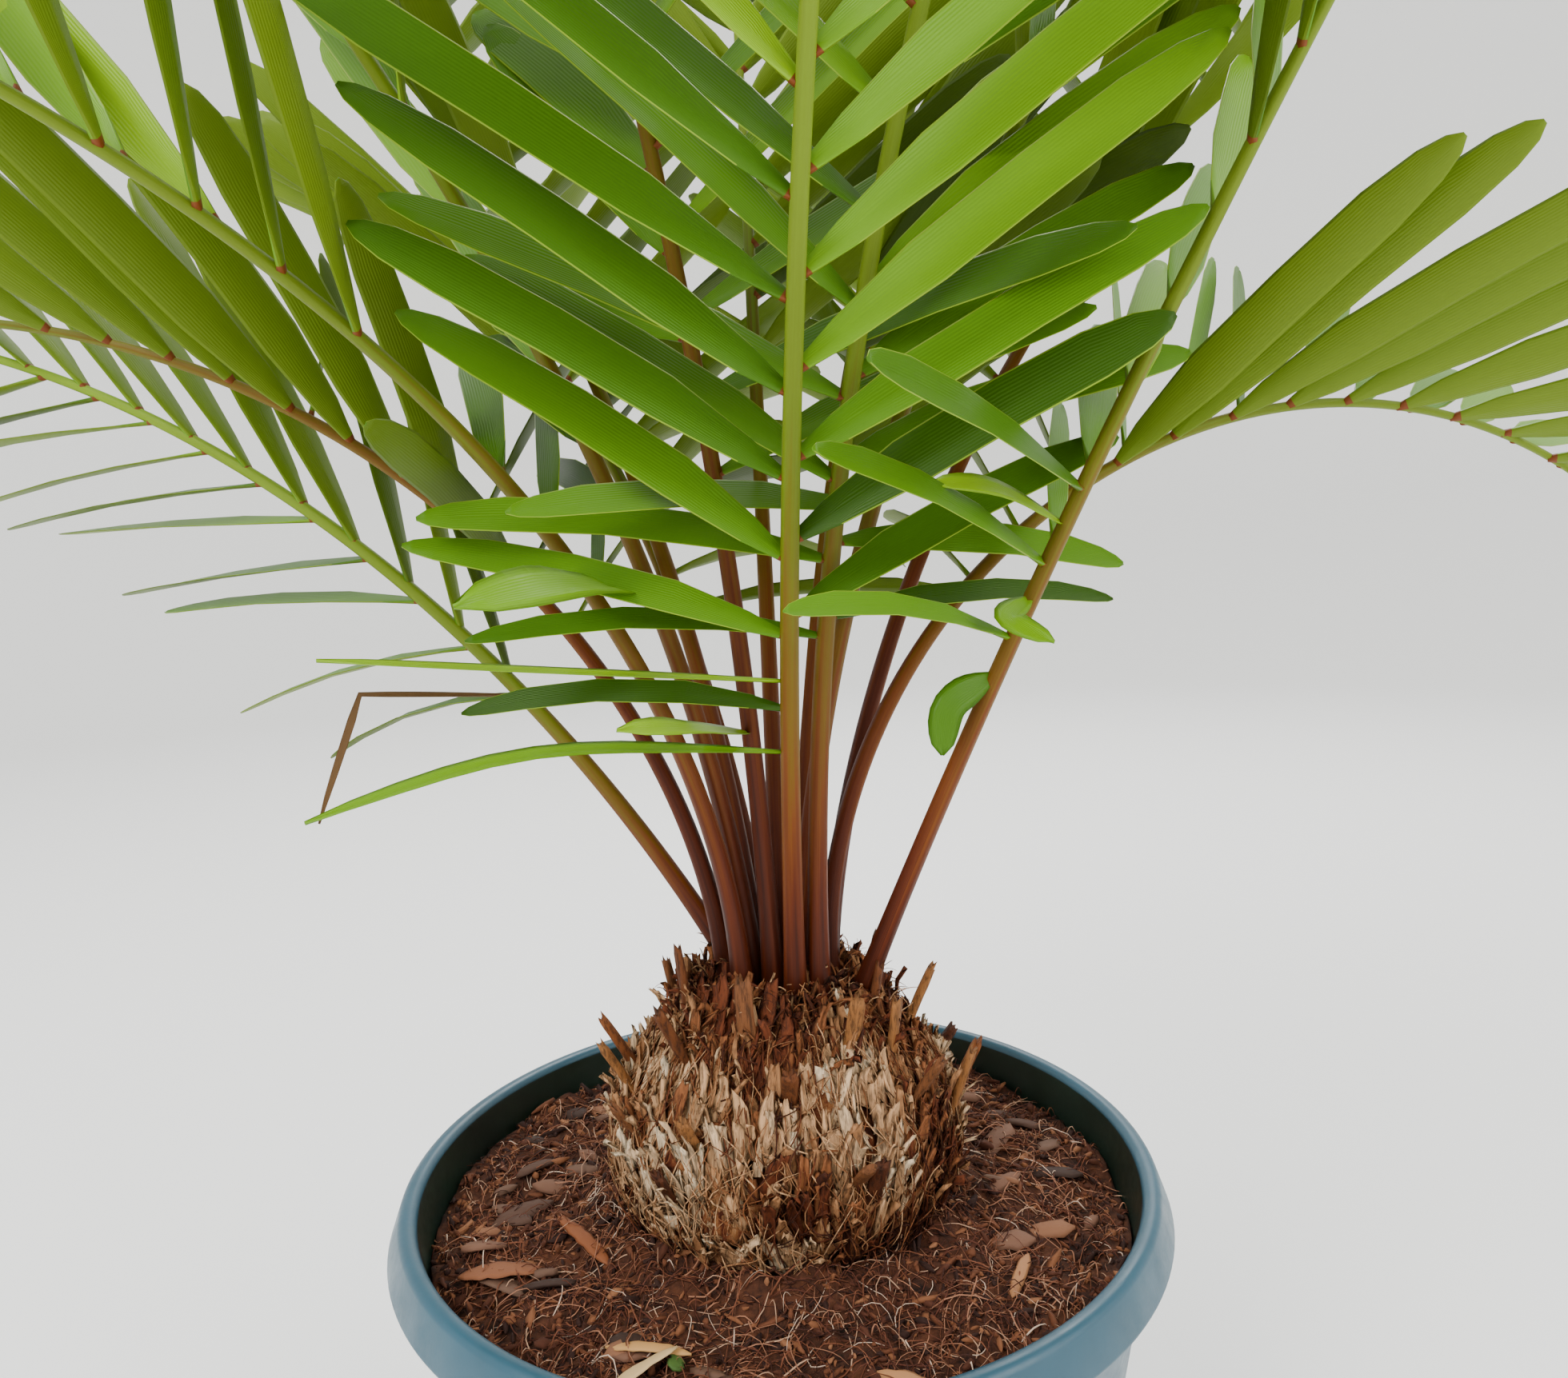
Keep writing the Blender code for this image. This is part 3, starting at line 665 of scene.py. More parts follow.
def underBark():
    # the layer under the flakes: matted red-brown fibre with paler patches, its grain upright
    finish = {"roughness": 0.9, "shine": 0.2, "squeeze": 0.22, "bump": (0.9, 0.0018),
              "noise": {"Scale": 170.0, "Detail": 8.0, "Roughness": 0.72}}
    stops = [(0.36, "#2a0f07"), (0.48, "#5c2c17"), (0.58, "#94633b"), (0.70, "#cda678")]
    return plantMatter("bark_under_layer", "#5f3420", finish, stops)


def crownHeight(radius, angle):
    # the top of the stem: a ragged mound that rises towards the bundle of stalks
    near = np.clip((caudex["domeRadius"] - radius) / caudex["domeFoot"], 0, 1)
    rough = relief(angle / fullTurn, np.clip(radius / 0.04, 0, 1) + 0 * angle, 46, 8, 35)
    return caudex["topZ"] - caudex["crownSink"] + caudex["crownRise"] * near * (0.35 + 0.75 * rough)


def makeCaudexBody():
    # rings up the barrel, pushed in and out by the layers of relief, and closing rings over the dome
    u = np.linspace(0, 1, caudex["around"], endpoint=False)[None]
    share = np.linspace(0, 1, caudex["rings"])[:, None]
    level = share + 0 * u
    out = sum(depth * (relief(u + sway * np.sin(waves * share), level, cellsU, cellsV, seed) - 0.5)
              for cellsU, cellsV, seed, depth, sway, waves in caudex["layers"]) - caudex["bodyIn"]
    barrel = onBarrel(fullTurn * u + 0 * share, level, out)
    middle = caudexMiddle[:2]
    dome = np.repeat(barrel[-1:], len(caudex["dome"]), axis=0)
    dome[..., :2] = middle + (dome[..., :2] - middle) * np.array(caudex["dome"])[:, None, None]
    dome[..., 2] = crownHeight(np.linalg.norm(dome[..., :2] - middle, axis=-1), fullTurn * u)
    points = np.concatenate([barrel, dome])
    caps = [[*middle, caudex["footZ"]], [*middle, points[-1, :, 2].mean()]]
    shapes = (np.vstack([points.reshape(-1, 3), caps])[None], *closedLoop(len(points), caudex["around"]))
    piece = makePiece("caudexBody", shapes, [underBark()])
    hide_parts("caudex")


def barrelSlope(share, step=0.02):
    # how fast the stem's radius changes with height
    upper, lower = onBarrel(0 * share, share + step), onBarrel(0 * share, share - step)
    return np.arctan((upper[..., 0] - lower[..., 0]) / (2 * step * caudexHeight))


def scaleShapes(base, angle, slope, length, width, curl, tilt, chance, rows=5):
    # Papery scales that grow up from their base points: each follows a slope, curls outwards by the
    # square of its length's share, is puckered from side to side, and ends in a torn edge.
    count = len(angle)
    outward, sideways = compass(angle)
    upward = np.array([0.0, 0.0, 1.0])
    step = np.linspace(0, 1, rows)[None]
    lean = slope[:, None] + curl[:, None] * step ** 2
    pace = length[:, None] / (rows - 1)
    outMoves = np.cumsum(np.sin(lean) * pace, axis=1) - np.sin(lean[:, :1]) * pace
    upMoves = np.cumsum(np.cos(lean) * pace, axis=1) - np.cos(lean[:, :1]) * pace
    drift = (np.sin(tilt) * length)[:, None] * (step + 0.5 * step ** 2 * chance.normal(size=(count, 1)))
    path = base[:, None] + outward[:, None] * outMoves[..., None] + upward * upMoves[..., None]
    path = path + sideways[:, None] * drift[..., None]
    face = outward[:, None] * np.cos(lean)[..., None] - upward * np.sin(lean)[..., None]
    columns = np.array([-1, -0.45, 0.1, 0.6, 1, 0.5, 0, -0.5])
    around = len(columns)
    width = width[:, None, None]
    wide = columns * (1.0 - 0.75 * np.abs(step - 0.4) ** 1.5)[..., None] * width * 0.5
    wide = wide * chance.uniform(0.55, 1.15, (count, rows, 1))
    pucker = chance.uniform(0.0002, 0.0014, (count, 1, 1)) * (0.2 + step[..., None])
    waves = np.sin(columns * chance.uniform(2, 6, (count, 1, 1)) + chance.uniform(0, 6.3, (count, 1, 1)))
    hug = -(columns ** 2) * width ** 2 / 4 / caudex["across"]
    deep = waves * pucker + hug + sheetSides * 0.00018
    points, quads, triangles = sweep(path, sideways[:, None], face, wide, deep)
    tear = chance.uniform(-0.35, 0.1, (count, around)) * pace
    tear[:, 5:] = tear[:, 3:0:-1]  # the under side is torn where the upper side is
    tornEnd(points, around, unit(path[:, -1] - path[:, -2]), tear * 2)
    points[:, -1] = points[:, -2 - around:-2].mean(axis=1)
    return points, quads, triangles


def barkTone(angle, share, chance, spread):
    # pale patches in the middle, redder towards the crown and darker where it meets the damp soil
    tone = 1.5 + 5.5 * np.clip(share - 0.60, 0, 1) + 10.0 * np.clip(0.15 - share, 0, 1)
    tone = tone + 6.5 * (relief(angle / fullTurn, share, 12, 4, 43) - 0.46)
    return np.clip(np.round(tone + chance.normal(size=len(angle)) * spread), 0, 5).astype(int)


flakes = {
    "seed": 42, "count": 1500, "topShare": 0.95, "length": (0.007, 0.024), "width": (0.0020, 0.0085),
    "slope": (-0.04, 0.16), "curl": (-0.15, 0.35), "flare": 0.9, "out": (-0.0026, 0.0012), "tilt": 0.22,
    "spread": 0.8, "palest": 0.25,
}
strands = {
    "count": 2200, "topShare": 0.94, "length": (0.006, 0.026), "swing": 0.10, "bow": 0.07, "rows": 7,
    "out": 0.0010, "outMore": 0.0025, "arch": 0.003, "loose": 0.25, "looseOut": 0.006, "falling": 0.1,
    "thick": (0.00012, 0.00040), "spread": 1.3,
}


def makeFlakes(stuff, chance):
    count = flakes["count"]
    angle = chance.uniform(0, fullTurn, count)
    share = np.sort(chance.uniform(0.0, flakes["topShare"], count))
    length = chance.uniform(*flakes["length"], count)
    width = chance.uniform(*flakes["width"], count)
    slope = barrelSlope(share) + chance.uniform(*flakes["slope"], count)
    curl = chance.uniform(*flakes["curl"], count) + flakes["flare"] * chance.random(count) ** 4
    base = onBarrel(angle, share, chance.uniform(*flakes["out"], count))
    tilt = chance.normal(size=count) * flakes["tilt"]
    shapes = scaleShapes(base, angle, slope, length, width, curl, tilt, chance)
    picks = barkTone(angle, share, chance, flakes["spread"])
    palest = (picks == 0) & (chance.random(count) < flakes["palest"])
    makePiece("barkFlakes", shapes, stuff, np.where(palest, len(stuff) - 1, picks))


def makeStrands(stuff, chance):
    # Fibres that lie on the bark: each climbs and drifts round the stem, and rises off it by an arch.
    size = (strands["count"], 1)
    angle = chance.uniform(0, fullTurn, size)
    share = chance.uniform(0.0, strands["topShare"], size)
    step = np.linspace(0, 1, strands["rows"])[None]
    length = chance.uniform(*strands["length"], size) / caudexHeight
    swing = chance.normal(size=size) * strands["swing"]
    bow = chance.normal(size=size) * strands["bow"]
    out = strands["out"] + strands["outMore"] * chance.random(size)
    out = out + chance.uniform(0, strands["arch"], size) * np.sin(math.pi * step)
    looseOut = chance.uniform(0, strands["looseOut"], size)
    out = out + looseOut * (chance.random(size) < strands["loose"]) * step ** 3
    upOrDown = np.sign(chance.random(size) - strands["falling"])
    places = np.clip(share + length * step * upOrDown, 0, 1.02)
    path = onBarrel(angle + swing * step + bow * np.sin(math.pi * step), places, out)
    along = unit(np.gradient(path, axis=1))
    side = unit(np.cross(along, compass(angle + 0 * step)[0]))
    thick = chance.uniform(*strands["thick"], (*size, 1)) * (1 - 0.6 * step ** 2)[..., None]
    shapes = tube(path, side, np.cross(side, along), thick, 3)
    tone = np.clip(barkTone(angle[:, 0], share[:, 0], chance, strands["spread"]) + 1, 0, 5)
    makePiece("barkStrands", shapes, stuff, tone)


frill = {
    "seed": 44, "count": 620, "onDome": 0.5, "radius": (0.021, 0.037), "sink": 0.002, "share": (0.78, 0.99),
    "domeSlope": (-0.5, 0.35), "slope": (-0.1, 0.9), "length": (0.005, 0.016), "width": (0.0009, 0.0042),
    "curl": (-0.9, 1.6), "tilt": 0.4, "colours": [1, 2, 3, 4, 5], "shares": [0.07, 0.16, 0.3, 0.32, 0.15],
}
hairs = {
    "count": 520, "radius": (0.022, 0.046), "outerSink": 0.004, "swing": 1.1, "length": (0.004, 0.014),
    "arch": (0, 0.004), "thick": (0.00015, 0.0004), "curl": 2.4, "lift": (-0.004, 0.010),
}


def onCrown(radius, angle, sink):
    height = crownHeight(radius, angle) - sink
    return caudexMiddle + np.stack([radius * np.cos(angle), radius * np.sin(angle), height], axis=-1)


def makeFrill(stuff, chance):
    # torn strips that stand round the foot of the bundle and over the stem's shoulder
    count = frill["count"]
    angle = chance.uniform(0, fullTurn, count)
    onDome = chance.random(count) < frill["onDome"]
    spot = onCrown(chance.uniform(*frill["radius"], count), angle, frill["sink"])
    share = chance.uniform(*frill["share"], count)
    base = np.where(onDome[:, None], spot, onBarrel(angle, share, -0.001))
    domeSlope = chance.uniform(*frill["domeSlope"], count)
    slope = np.where(onDome, domeSlope, barrelSlope(share) + chance.uniform(*frill["slope"], count))
    length = chance.uniform(*frill["length"], count)
    width = chance.uniform(*frill["width"], count)
    curl = chance.uniform(*frill["curl"], count)
    tilt = chance.normal(size=count) * frill["tilt"]
    shapes = scaleShapes(base, angle, slope, length, width, curl, tilt, chance)
    picks = chance.choice(frill["colours"], count, p=frill["shares"])
    makePiece("crownFrill", shapes, stuff, picks)


def makeHairs(stuff, chance):
    # curled hairs over the top of the stem, between and around the stalks
    count = hairs["count"]
    angle = chance.uniform(0, fullTurn, count)
    radius = chance.uniform(*hairs["radius"], count)
    start = onCrown(radius, angle, hairs["outerSink"] * (radius > caudex["domeRadius"]))
    heading = angle + chance.normal(size=count) * hairs["swing"]
    length, arch, thick = (chance.uniform(*hairs[key], count) for key in ("length", "arch", "thick"))
    lift = chance.uniform(*hairs["lift"], count)
    shapes = strandShapes(start, heading, length, arch, thick, chance, hairs["curl"], lift)
    makePiece("crownHairs", shapes, stuff, chance.choice(frill["colours"], count))


# Stubs of old leaf bases, on the same golden-angle spiral as in the solids
stubs = {
    "seed": 7, "count": 20, "firstAngle": 200, "golden": 137.508, "topShare": 0.97, "lowShare": 0.42,
    "sharePower": 1.6, "topLean": 6, "lowLean": 42, "leanVary": 6, "lengthVary": 0.25, "length": 0.023,
    "width": 0.0085, "thickness": 0.0045, "sink": 0.007, "rows": 9, "around": 12, "hollow": 0.0025,
    "tearSeed": 51, "tear": (-0.0035, 0.0012),
    "colours": ["#7a4522", "#613519", "#4d2713", "#704426", "#8a5a30"],
    # angle, share of the height, lean and length of the ones that stand out in the photo
    "extra": [(-13, 0.40, 20, 0.034), (-4, 0.42, 26, 0.032), (-33, 0.80, 8, 0.024), (196, 0.62, 30, 0.026),
              (212, 0.50, 34, 0.020), (-62, 0.32, 24, 0.022), (-128, 0.28, 30, 0.022)],
}


def makeStubs():
    # each is a fluted bar that leans out from the stem, tapers, and ends in a torn and hollow edge
    chance, rough = (np.random.default_rng(stubs[key]) for key in ("seed", "tearSeed"))
    number = np.arange(stubs["count"])
    down = number / (stubs["count"] - 1)
    draws = chance.uniform(-1, 1, (len(number), 2)) * [stubs["leanVary"], stubs["lengthVary"]]
    spiral = np.stack([
        stubs["firstAngle"] + stubs["golden"] * number,
        stubs["topShare"] + (stubs["lowShare"] - stubs["topShare"]) * down ** stubs["sharePower"],
        stubs["topLean"] + (stubs["lowLean"] - stubs["topLean"]) * down + draws[:, 0],
        stubs["length"] * (1 + draws[:, 1])], axis=1)
    angle, share, lean, length = np.vstack([spiral, stubs["extra"]]).T
    angle, lean = np.radians(angle), np.radians(lean)[:, None]
    count, rows, around = len(angle), stubs["rows"], stubs["around"]
    outward, upward = compass(angle)[0], np.array([0, 0, 1.0])
    along = outward * np.sin(lean) + upward * np.cos(lean)
    facing = outward * np.cos(lean) - upward * np.sin(lean)
    step = np.linspace(0, 1, rows)[None]
    run = step * (length + stubs["sink"])[:, None] - stubs["sink"]
    base = onBarrel(angle, share, -0.3 * stubs["thickness"])
    path = base[:, None] + along[:, None] * run[..., None]
    taper = ((1 - 0.35 * step) * (1 + 0.06 * np.sin(9 * step)))[..., None]
    fluted = 1 + 0.10 * rough.normal(size=(count, 1, around))
    fluted = fluted + 0.04 * rough.normal(size=(count, rows, around))
    wide, deep = (part * taper * size * 0.5 * fluted
                  for part, size in ((np.cos(ringAngles(around)), stubs["width"]),
                                     (np.sin(ringAngles(around)), stubs["thickness"])))
    points, quads, triangles = sweep(path, np.cross(along, facing)[:, None], facing[:, None], wide, deep)
    tornEnd(points, around, along, rough.uniform(*stubs["tear"], (count, around)))
    points[:, -1] -= along * stubs["hollow"]
    stuff = shades(bark, "old_leaf_base", stubs["colours"], 0.7)
    picks = rough.integers(0, len(stuff), count)
    makePiece("oldLeafBases", (points, quads, triangles), stuff, picks)


makeCaudexBody()
barkStuff = shades(bark, "papery_bark", barkColours)
barkChance = np.random.default_rng(flakes["seed"])
makeFlakes(barkStuff, barkChance)
makeStrands(barkStuff, barkChance)
crownChance = np.random.default_rng(frill["seed"])
makeFrill(barkStuff, crownChance)
makeHairs(barkStuff, crownChance)
makeStubs()
print("stem made")


# Fronds: the same rule and the same draws as in the solids, with each leaflet in its own outline

leaf = {
    "seed": 8, "stemSteps": 15, "stemFoot": 0.0038, "stemTip": 0.0014, "gap": 0.0003, "clearance": 0.0012,
    "length": 0.160, "width": 0.0175, "thickness": 0.0018, "shoulder": 0.22, "haunch": 0.80,
    "firstAngle": 90, "lastAngle": 38, "anglePower": 0.35, "angleVary": 5, "liftVary": 6,
    "lengthVary": 0.05, "lowest": 0.72, "lowestPower": 6, "tip": 0.58, "tipFrom": 0.45, "tipPower": 1.5,
    "droop": 8, "lowestDroop": 26, "droopPower": 8, "droopVary": 4, "lastShare": 0.985,
    # how far along its pair's stretch of the stem the leaflet on each side grows
    "sides": ((1, 0.25), (-1, 0.5)),
    "lightLean": 0.6,
    # what is added to a leaflet's angle and lift, in degrees, until it fits
    "turns": ((0, 0), (9, 0), (-9, 0), (0, 11), (0, -11), (15, 9), (-15, 9), (15, -9), (-15, -9)),
}

# right and back of the crown's middle in millimetres, heading, turn, lean at foot and tip, bend's power,
# length, roll, leaflets' lift and spread, bare share of the stem, pairs of leaflets, and how slowly the
# red-brown of the foot turns green: above 1 is sooner
Frond = namedtuple("Frond", "right back heading turn leanFoot leanTip bend length roll lift spread bare "
                            "pairs tint")
fronds = {
    "frond_front": Frond(6, -20, -87, 6, 2, 62, 0.75, 0.60, 0, 18, 1.0, 0.19, 17, 1.15),
    "frond_front_right": Frond(15, -16, -72, 4, 0, 66, 1.00, 0.62, 0, 20, 1.0, 0.22, 17, 1.1),
    "frond_right_long": Frond(31, -9, -28, 0, 23, 34, 1.00, 0.66, 0, 24, 1.0, 0.22, 18, 1.0),
    "frond_right_low": Frond(20, -2, 12, 0, -4, 136, 0.93, 0.54, 0, 34, 1.0, 0.30, 14, 0.7),
    "frond_right_back": Frond(19, 8, 20, 0, 3, 66, 0.82, 0.62, 0, 28, 1.0, 0.30, 16, 0.45),
    "frond_left_low": Frond(-15, 14, 167, 0, 31, 88, 1.10, 0.58, 80, 4, 0.62, 0.24, 15, 1.5),
    "frond_left_brown": Frond(-21, 2, 173, 0, 0, 104, 0.78, 0.58, 0, 38, 1.0, 0.26, 16, 0.5),
    "frond_left_front": Frond(-14, -15, 206, 18, -1, 94, 0.80, 0.62, 0, 38, 1.0, 0.26, 17, 0.9),
    "frond_left_tall": Frond(-9, -4, 216, 0, 4, 53, 0.80, 0.62, 0, 26, 1.0, 0.26, 17, 0.8),
    "frond_back_left": Frond(-8, 6, 150, 0, 4, 52, 0.90, 0.62, 0, 24, 1.0, 0.26, 17, 0.8),
    "frond_back": Frond(1, 11, 92, 0, 3, 50, 1.00, 0.62, 0, 24, 1.0, 0.28, 16, 0.8),
    "frond_back_right": Frond(9, 4, 60, 0, 3, 54, 1.00, 0.62, 0, 24, 1.0, 0.28, 16, 0.8),
    "frond_middle_left": Frond(-2, -11, 236, 0, 2, 32, 1.00, 0.62, 0, 22, 1.0, 0.26, 17, 0.55),
    "frond_middle_right": Frond(8, -6, 332, 0, 2, 50, 0.90, 0.60, 0, 22, 1.0, 0.26, 16, 0.9),
    "frond_low_back_left": Frond(-5, 21, 128, 0, 6, 78, 0.80, 0.58, 0, 30, 1.0, 0.26, 15, 0.9),
    "frond_low_back_right": Frond(8, 19, 74, 0, 6, 80, 0.80, 0.58, 0, 30, 1.0, 0.26, 15, 0.9),
}


def frondLine(frond, steps):
    # a stem's course: its lean grows by a power of the share, and its points are the running sum
    share = np.linspace(0.0, 1.0, steps + 1)
    lean = np.radians(frond.leanFoot + (frond.leanTip - frond.leanFoot) * share ** frond.bend)
    heading = np.radians(frond.heading + frond.turn * share)
    outward, up = compass(heading)[0], np.array([0.0, 0.0, 1.0])
    cos, sin = np.cos(lean)[:, None], np.sin(lean)[:, None]
    along, upper = outward * sin + up * cos, up * sin - outward * cos
    right = np.cross(along, upper)
    cos, sin = math.cos(math.radians(frond.roll)), math.sin(math.radians(frond.roll))
    upper, right = upper * cos + right * sin, right * cos - upper * sin
    foot = np.array([caudex["centre"][0] + frond.right / 1000, caudex["centre"][1] + frond.back / 1000,
                     caudex["topZ"] + leaf["gap"]])
    moves = (along[1:] + along[:-1]) * 0.5 * frond.length / steps
    points = np.vstack([foot, foot + np.cumsum(moves, axis=0)])
    return share, points, along, upper, right, heading


def atShare(share, values, wanted):
    return np.array([np.interp(wanted, share, values[:, axis]) for axis in range(values.shape[1])])


def leafletPlan(frond, line, chance):
    # where each leaflet grows, its directions there, and its size with the source's four draws
    share, points, along, upper, right, heading = line
    plan = []
    for pair in range(frond.pairs):
        for side, offset in leaf["sides"]:
            place = (pair + offset) / frond.pairs
            wanted = frond.bare + (leaf["lastShare"] - frond.bare) * place
            shift = chance.uniform(-1.0, 1.0, 4)
            closing = place ** leaf["anglePower"]
            angle = leaf["firstAngle"] + (leaf["lastAngle"] - leaf["firstAngle"]) * closing
            nearTip = max(0.0, (place - leaf["tipFrom"]) / (1 - leaf["tipFrom"]))
            long = 1 - (1 - leaf["tip"]) * nearTip ** leaf["tipPower"]
            long = long - (1 - leaf["lowest"]) * (1 - place) ** leaf["lowestPower"]
            droop = leaf["droop"] + leaf["lowestDroop"] * (1 - place) ** leaf["droopPower"]
            plan.append({
                "root": atShare(share, points, wanted),
                "along": unit(atShare(share, along, wanted)),
                "upper": unit(atShare(share, upper, wanted)),
                "out": side * unit(atShare(share, right, wanted)),
                "heading": float(np.interp(wanted, share, heading)),
                "angle": frond.spread * angle + leaf["angleVary"] * shift[0],
                "lift": frond.lift + leaf["liftVary"] * shift[1],
                "length": leaf["length"] * long * (1 + leaf["lengthVary"] * shift[2]),
                "droop": math.radians(droop + leaf["droopVary"] * shift[3]),
                "place": place,
            })
    return plan


def leafletStart(item, turn):
    angle = math.radians(item["angle"] + turn[0])
    lift = math.radians(item["lift"] + turn[1])
    sideways = item["out"] * math.cos(lift) + item["upper"] * math.sin(lift)
    return math.cos(angle) * item["along"] + math.sin(angle) * sideways


def leafletCourse(root, start, length, droop, heading, share, lightLean):
    # Arcs of circles that bend towards the ground. All the arrays have one row for each leaflet,
    # and share has one column for each station, so the answers are (leaflets, stations, 3).
    down = np.array([0.0, 0.0, -1.0])
    sag = down - (start @ down)[:, None] * start
    level = np.maximum(np.linalg.norm(sag, axis=1), 0.02)
    sag = sag / level[:, None]
    bend = (droop * level)[:, None, None]
    s = share[None, :, None]
    run = start[:, None] * np.sin(bend * s) + sag[:, None] * (1 - np.cos(bend * s))
    points = root[:, None] + length[:, None, None] * run / bend
    ahead = start[:, None] * np.cos(bend * s) + sag[:, None] * np.sin(bend * s)
    light = (compass(heading)[0] * lightLean[:, None] + np.array([0, 0, 1.0]))[:, None]
    face = unit(light - (light * ahead).sum(axis=-1, keepdims=True) * ahead)
    return points, face, np.cross(face, ahead)


# Probes are coarse leaflets of eight points, which find what a leaflet would touch
probeSides = [(0, 2, 1), (0, 3, 2), (0, 1, 3), (1, 2, 5, 4), (2, 3, 6, 5), (3, 1, 4, 6), (4, 5, 7), (5, 6, 7),
              (6, 4, 7)]


def probe(item, start, lightLean, extra=0.0):
    # the root, three corners at the shoulder and at the haunch, and the tip, all a little further out
    share = np.array([leaf["shoulder"], leaf["haunch"], 1.0 + extra / item["length"]])
    values = (item["root"], start, item["length"], item["droop"], item["heading"])
    one = [np.array([value]) for value in values]
    points, face, across = leafletCourse(*one, share, np.array([lightLean]))
    half = leaf["width"] / 2 + extra
    corners = [item["root"]]
    for k in (0, 1):
        corners += [points[0, k] + across[0, k] * half + face[0, k] * extra,
                    points[0, k] - across[0, k] * half + face[0, k] * extra,
                    points[0, k] - face[0, k] * (leaf["thickness"] + extra)]
    return corners + [points[0, 2]]


def searchTree(probes):
    points = [tuple(point) for corners in probes for point in corners]
    sides = [tuple(c + 8 * k for c in side) for k in range(len(probes)) for side in probeSides]
    return BVHTree.FromPolygons(points, sides)


def stemTree(frond, steps, sides, foot, tip):
    # a tube of a few sides along a stem, to keep the leaflets of the other fronds off it
    share, points, _, upper, right, _ = frondLine(frond, steps)
    radius = (foot + (tip - foot) * share)[None, :, None]
    skin, quads, _ = tube(points[None], right[None], upper[None], radius, sides, -0.5 * math.pi)
    return BVHTree.FromPolygons(skin[0].tolist(), quads.tolist())


def isClear(corners, others):
    tree = searchTree([corners])
    return not any(tree.overlap(other) for other in others)


def plannedLeaflets():
    # every leaflet that fits clear of the other fronds, with the first turn that lets it
    chance = np.random.default_rng(leaf["seed"])
    steps, clearance, lean = leaf["stemSteps"], leaf["clearance"], leaf["lightLean"]
    foot, tip = leaf["stemFoot"] + clearance, leaf["stemTip"] + clearance
    stems = [stemTree(frond, steps, 3, foot, tip) for frond in fronds.values()]
    grown, kept, missed = [], [], 0
    for number, frond in enumerate(fronds.values()):
        own = []
        others = stems[:number] + stems[number + 1:] + grown
        for item in leafletPlan(frond, frondLine(frond, steps), chance):
            starts = (leafletStart(item, turn) for turn in leaf["turns"])
            start = next((s for s in starts if isClear(probe(item, s, lean, clearance), others)), None)
            if start is None:
                missed += 1
                continue
            item["start"], item["frond"] = start, number
            own.append(probe(item, start, lean, clearance))
            kept.append(item)
        grown.append(searchTree(own))
    print(f"leaflets: {len(kept)} grown, {missed} left out")
    return kept


stalk = {
    "steps": 84, "around": 14, "foot": 0.0039, "tip": 0.0012, "swelling": 0.0012, "swellingShare": 0.03,
    "threeSided": 0.06, "groove": 0.28, "grooveWidth": 0.35, "colour": "#7c8a2c",
    "ramp": [(0.00, "#351003"), (0.08, "#521f05"), (0.16, "#683507"), (0.27, "#675109"), (0.40, "#5f700b"),
             (1.00, "#789616")],
}


def stalkSkin():
    # a living stalk: waxy and smooth, maroon at the foot and olive green above, by the UV map's height
    made, tree, shader = startMaterial("frond_stalk", stalk["colour"], 0.5, 0.2)
    place = addNode(tree, "ShaderNodeUVMap", uv_map="UVMap").outputs["UV"]
    noises = []
    for scale, detail in (((9.0, 4.0, 1.0), 4.0), ((60.0, 3.0, 1.0), 3.0)):
        squeeze = addNode(tree, "ShaderNodeMapping", {"Scale": scale}, {"Vector": place})
        noises.append(addNode(tree, "ShaderNodeTexNoise", {"Scale": 1.0, "Detail": detail},
                              {"Vector": squeeze.outputs["Vector"]}).outputs["Fac"])
    streaks, lines = noises
    limits = {"From Min": 0.3, "From Max": 0.7, "To Min": -0.07, "To Max": 0.07}
    shift = addNode(tree, "ShaderNodeMapRange", limits, {"Value": streaks})
    split = addNode(tree, "ShaderNodeSeparateXYZ", links={"Vector": place})
    height = addNode(tree, "ShaderNodeMath", links={0: split.outputs["Y"], 1: shift.outputs["Result"]},
                     operation="ADD")
    blendColours(tree, shader, height.outputs["Value"], stalk["ramp"])
    addBump(tree, shader, lines, 0.35, 0.0004)
    return made


def makeStalks():
    # A tube along each stem with a groove down its upper side: the radius is one, plus a three-sided
    # swell, less a bell-shaped notch.
    lines = [frondLine(frond, stalk["steps"]) for frond in fronds.values()]
    share = lines[0][0]
    path, upper, right = (np.array([line[k] for line in lines]) for k in (1, 3, 4))
    angle = ringAngles(stalk["around"])
    radius = stalk["foot"] + (stalk["tip"] - stalk["foot"]) * share
    radius = radius + stalk["swelling"] * np.exp(-share / stalk["swellingShare"])
    notch = np.exp(-((angle - 0.5 * math.pi) / stalk["grooveWidth"]) ** 2)
    outline = 1 + stalk["threeSided"] * np.cos(3 * angle + 0.5 * math.pi) - stalk["groove"] * notch
    wide = (radius[:, None] * np.cos(angle) * outline)[None]
    deep = (radius[:, None] * np.sin(angle) * outline)[None]
    tints = np.array([frond.tint for frond in fronds.values()])
    uv = sweptUv(angle / fullTurn, tints[:, None, None] * share[None, :, None])
    makePiece("frondStalks", sweep(path, right, upper, wide, deep), [stalkSkin()], uv=uv)
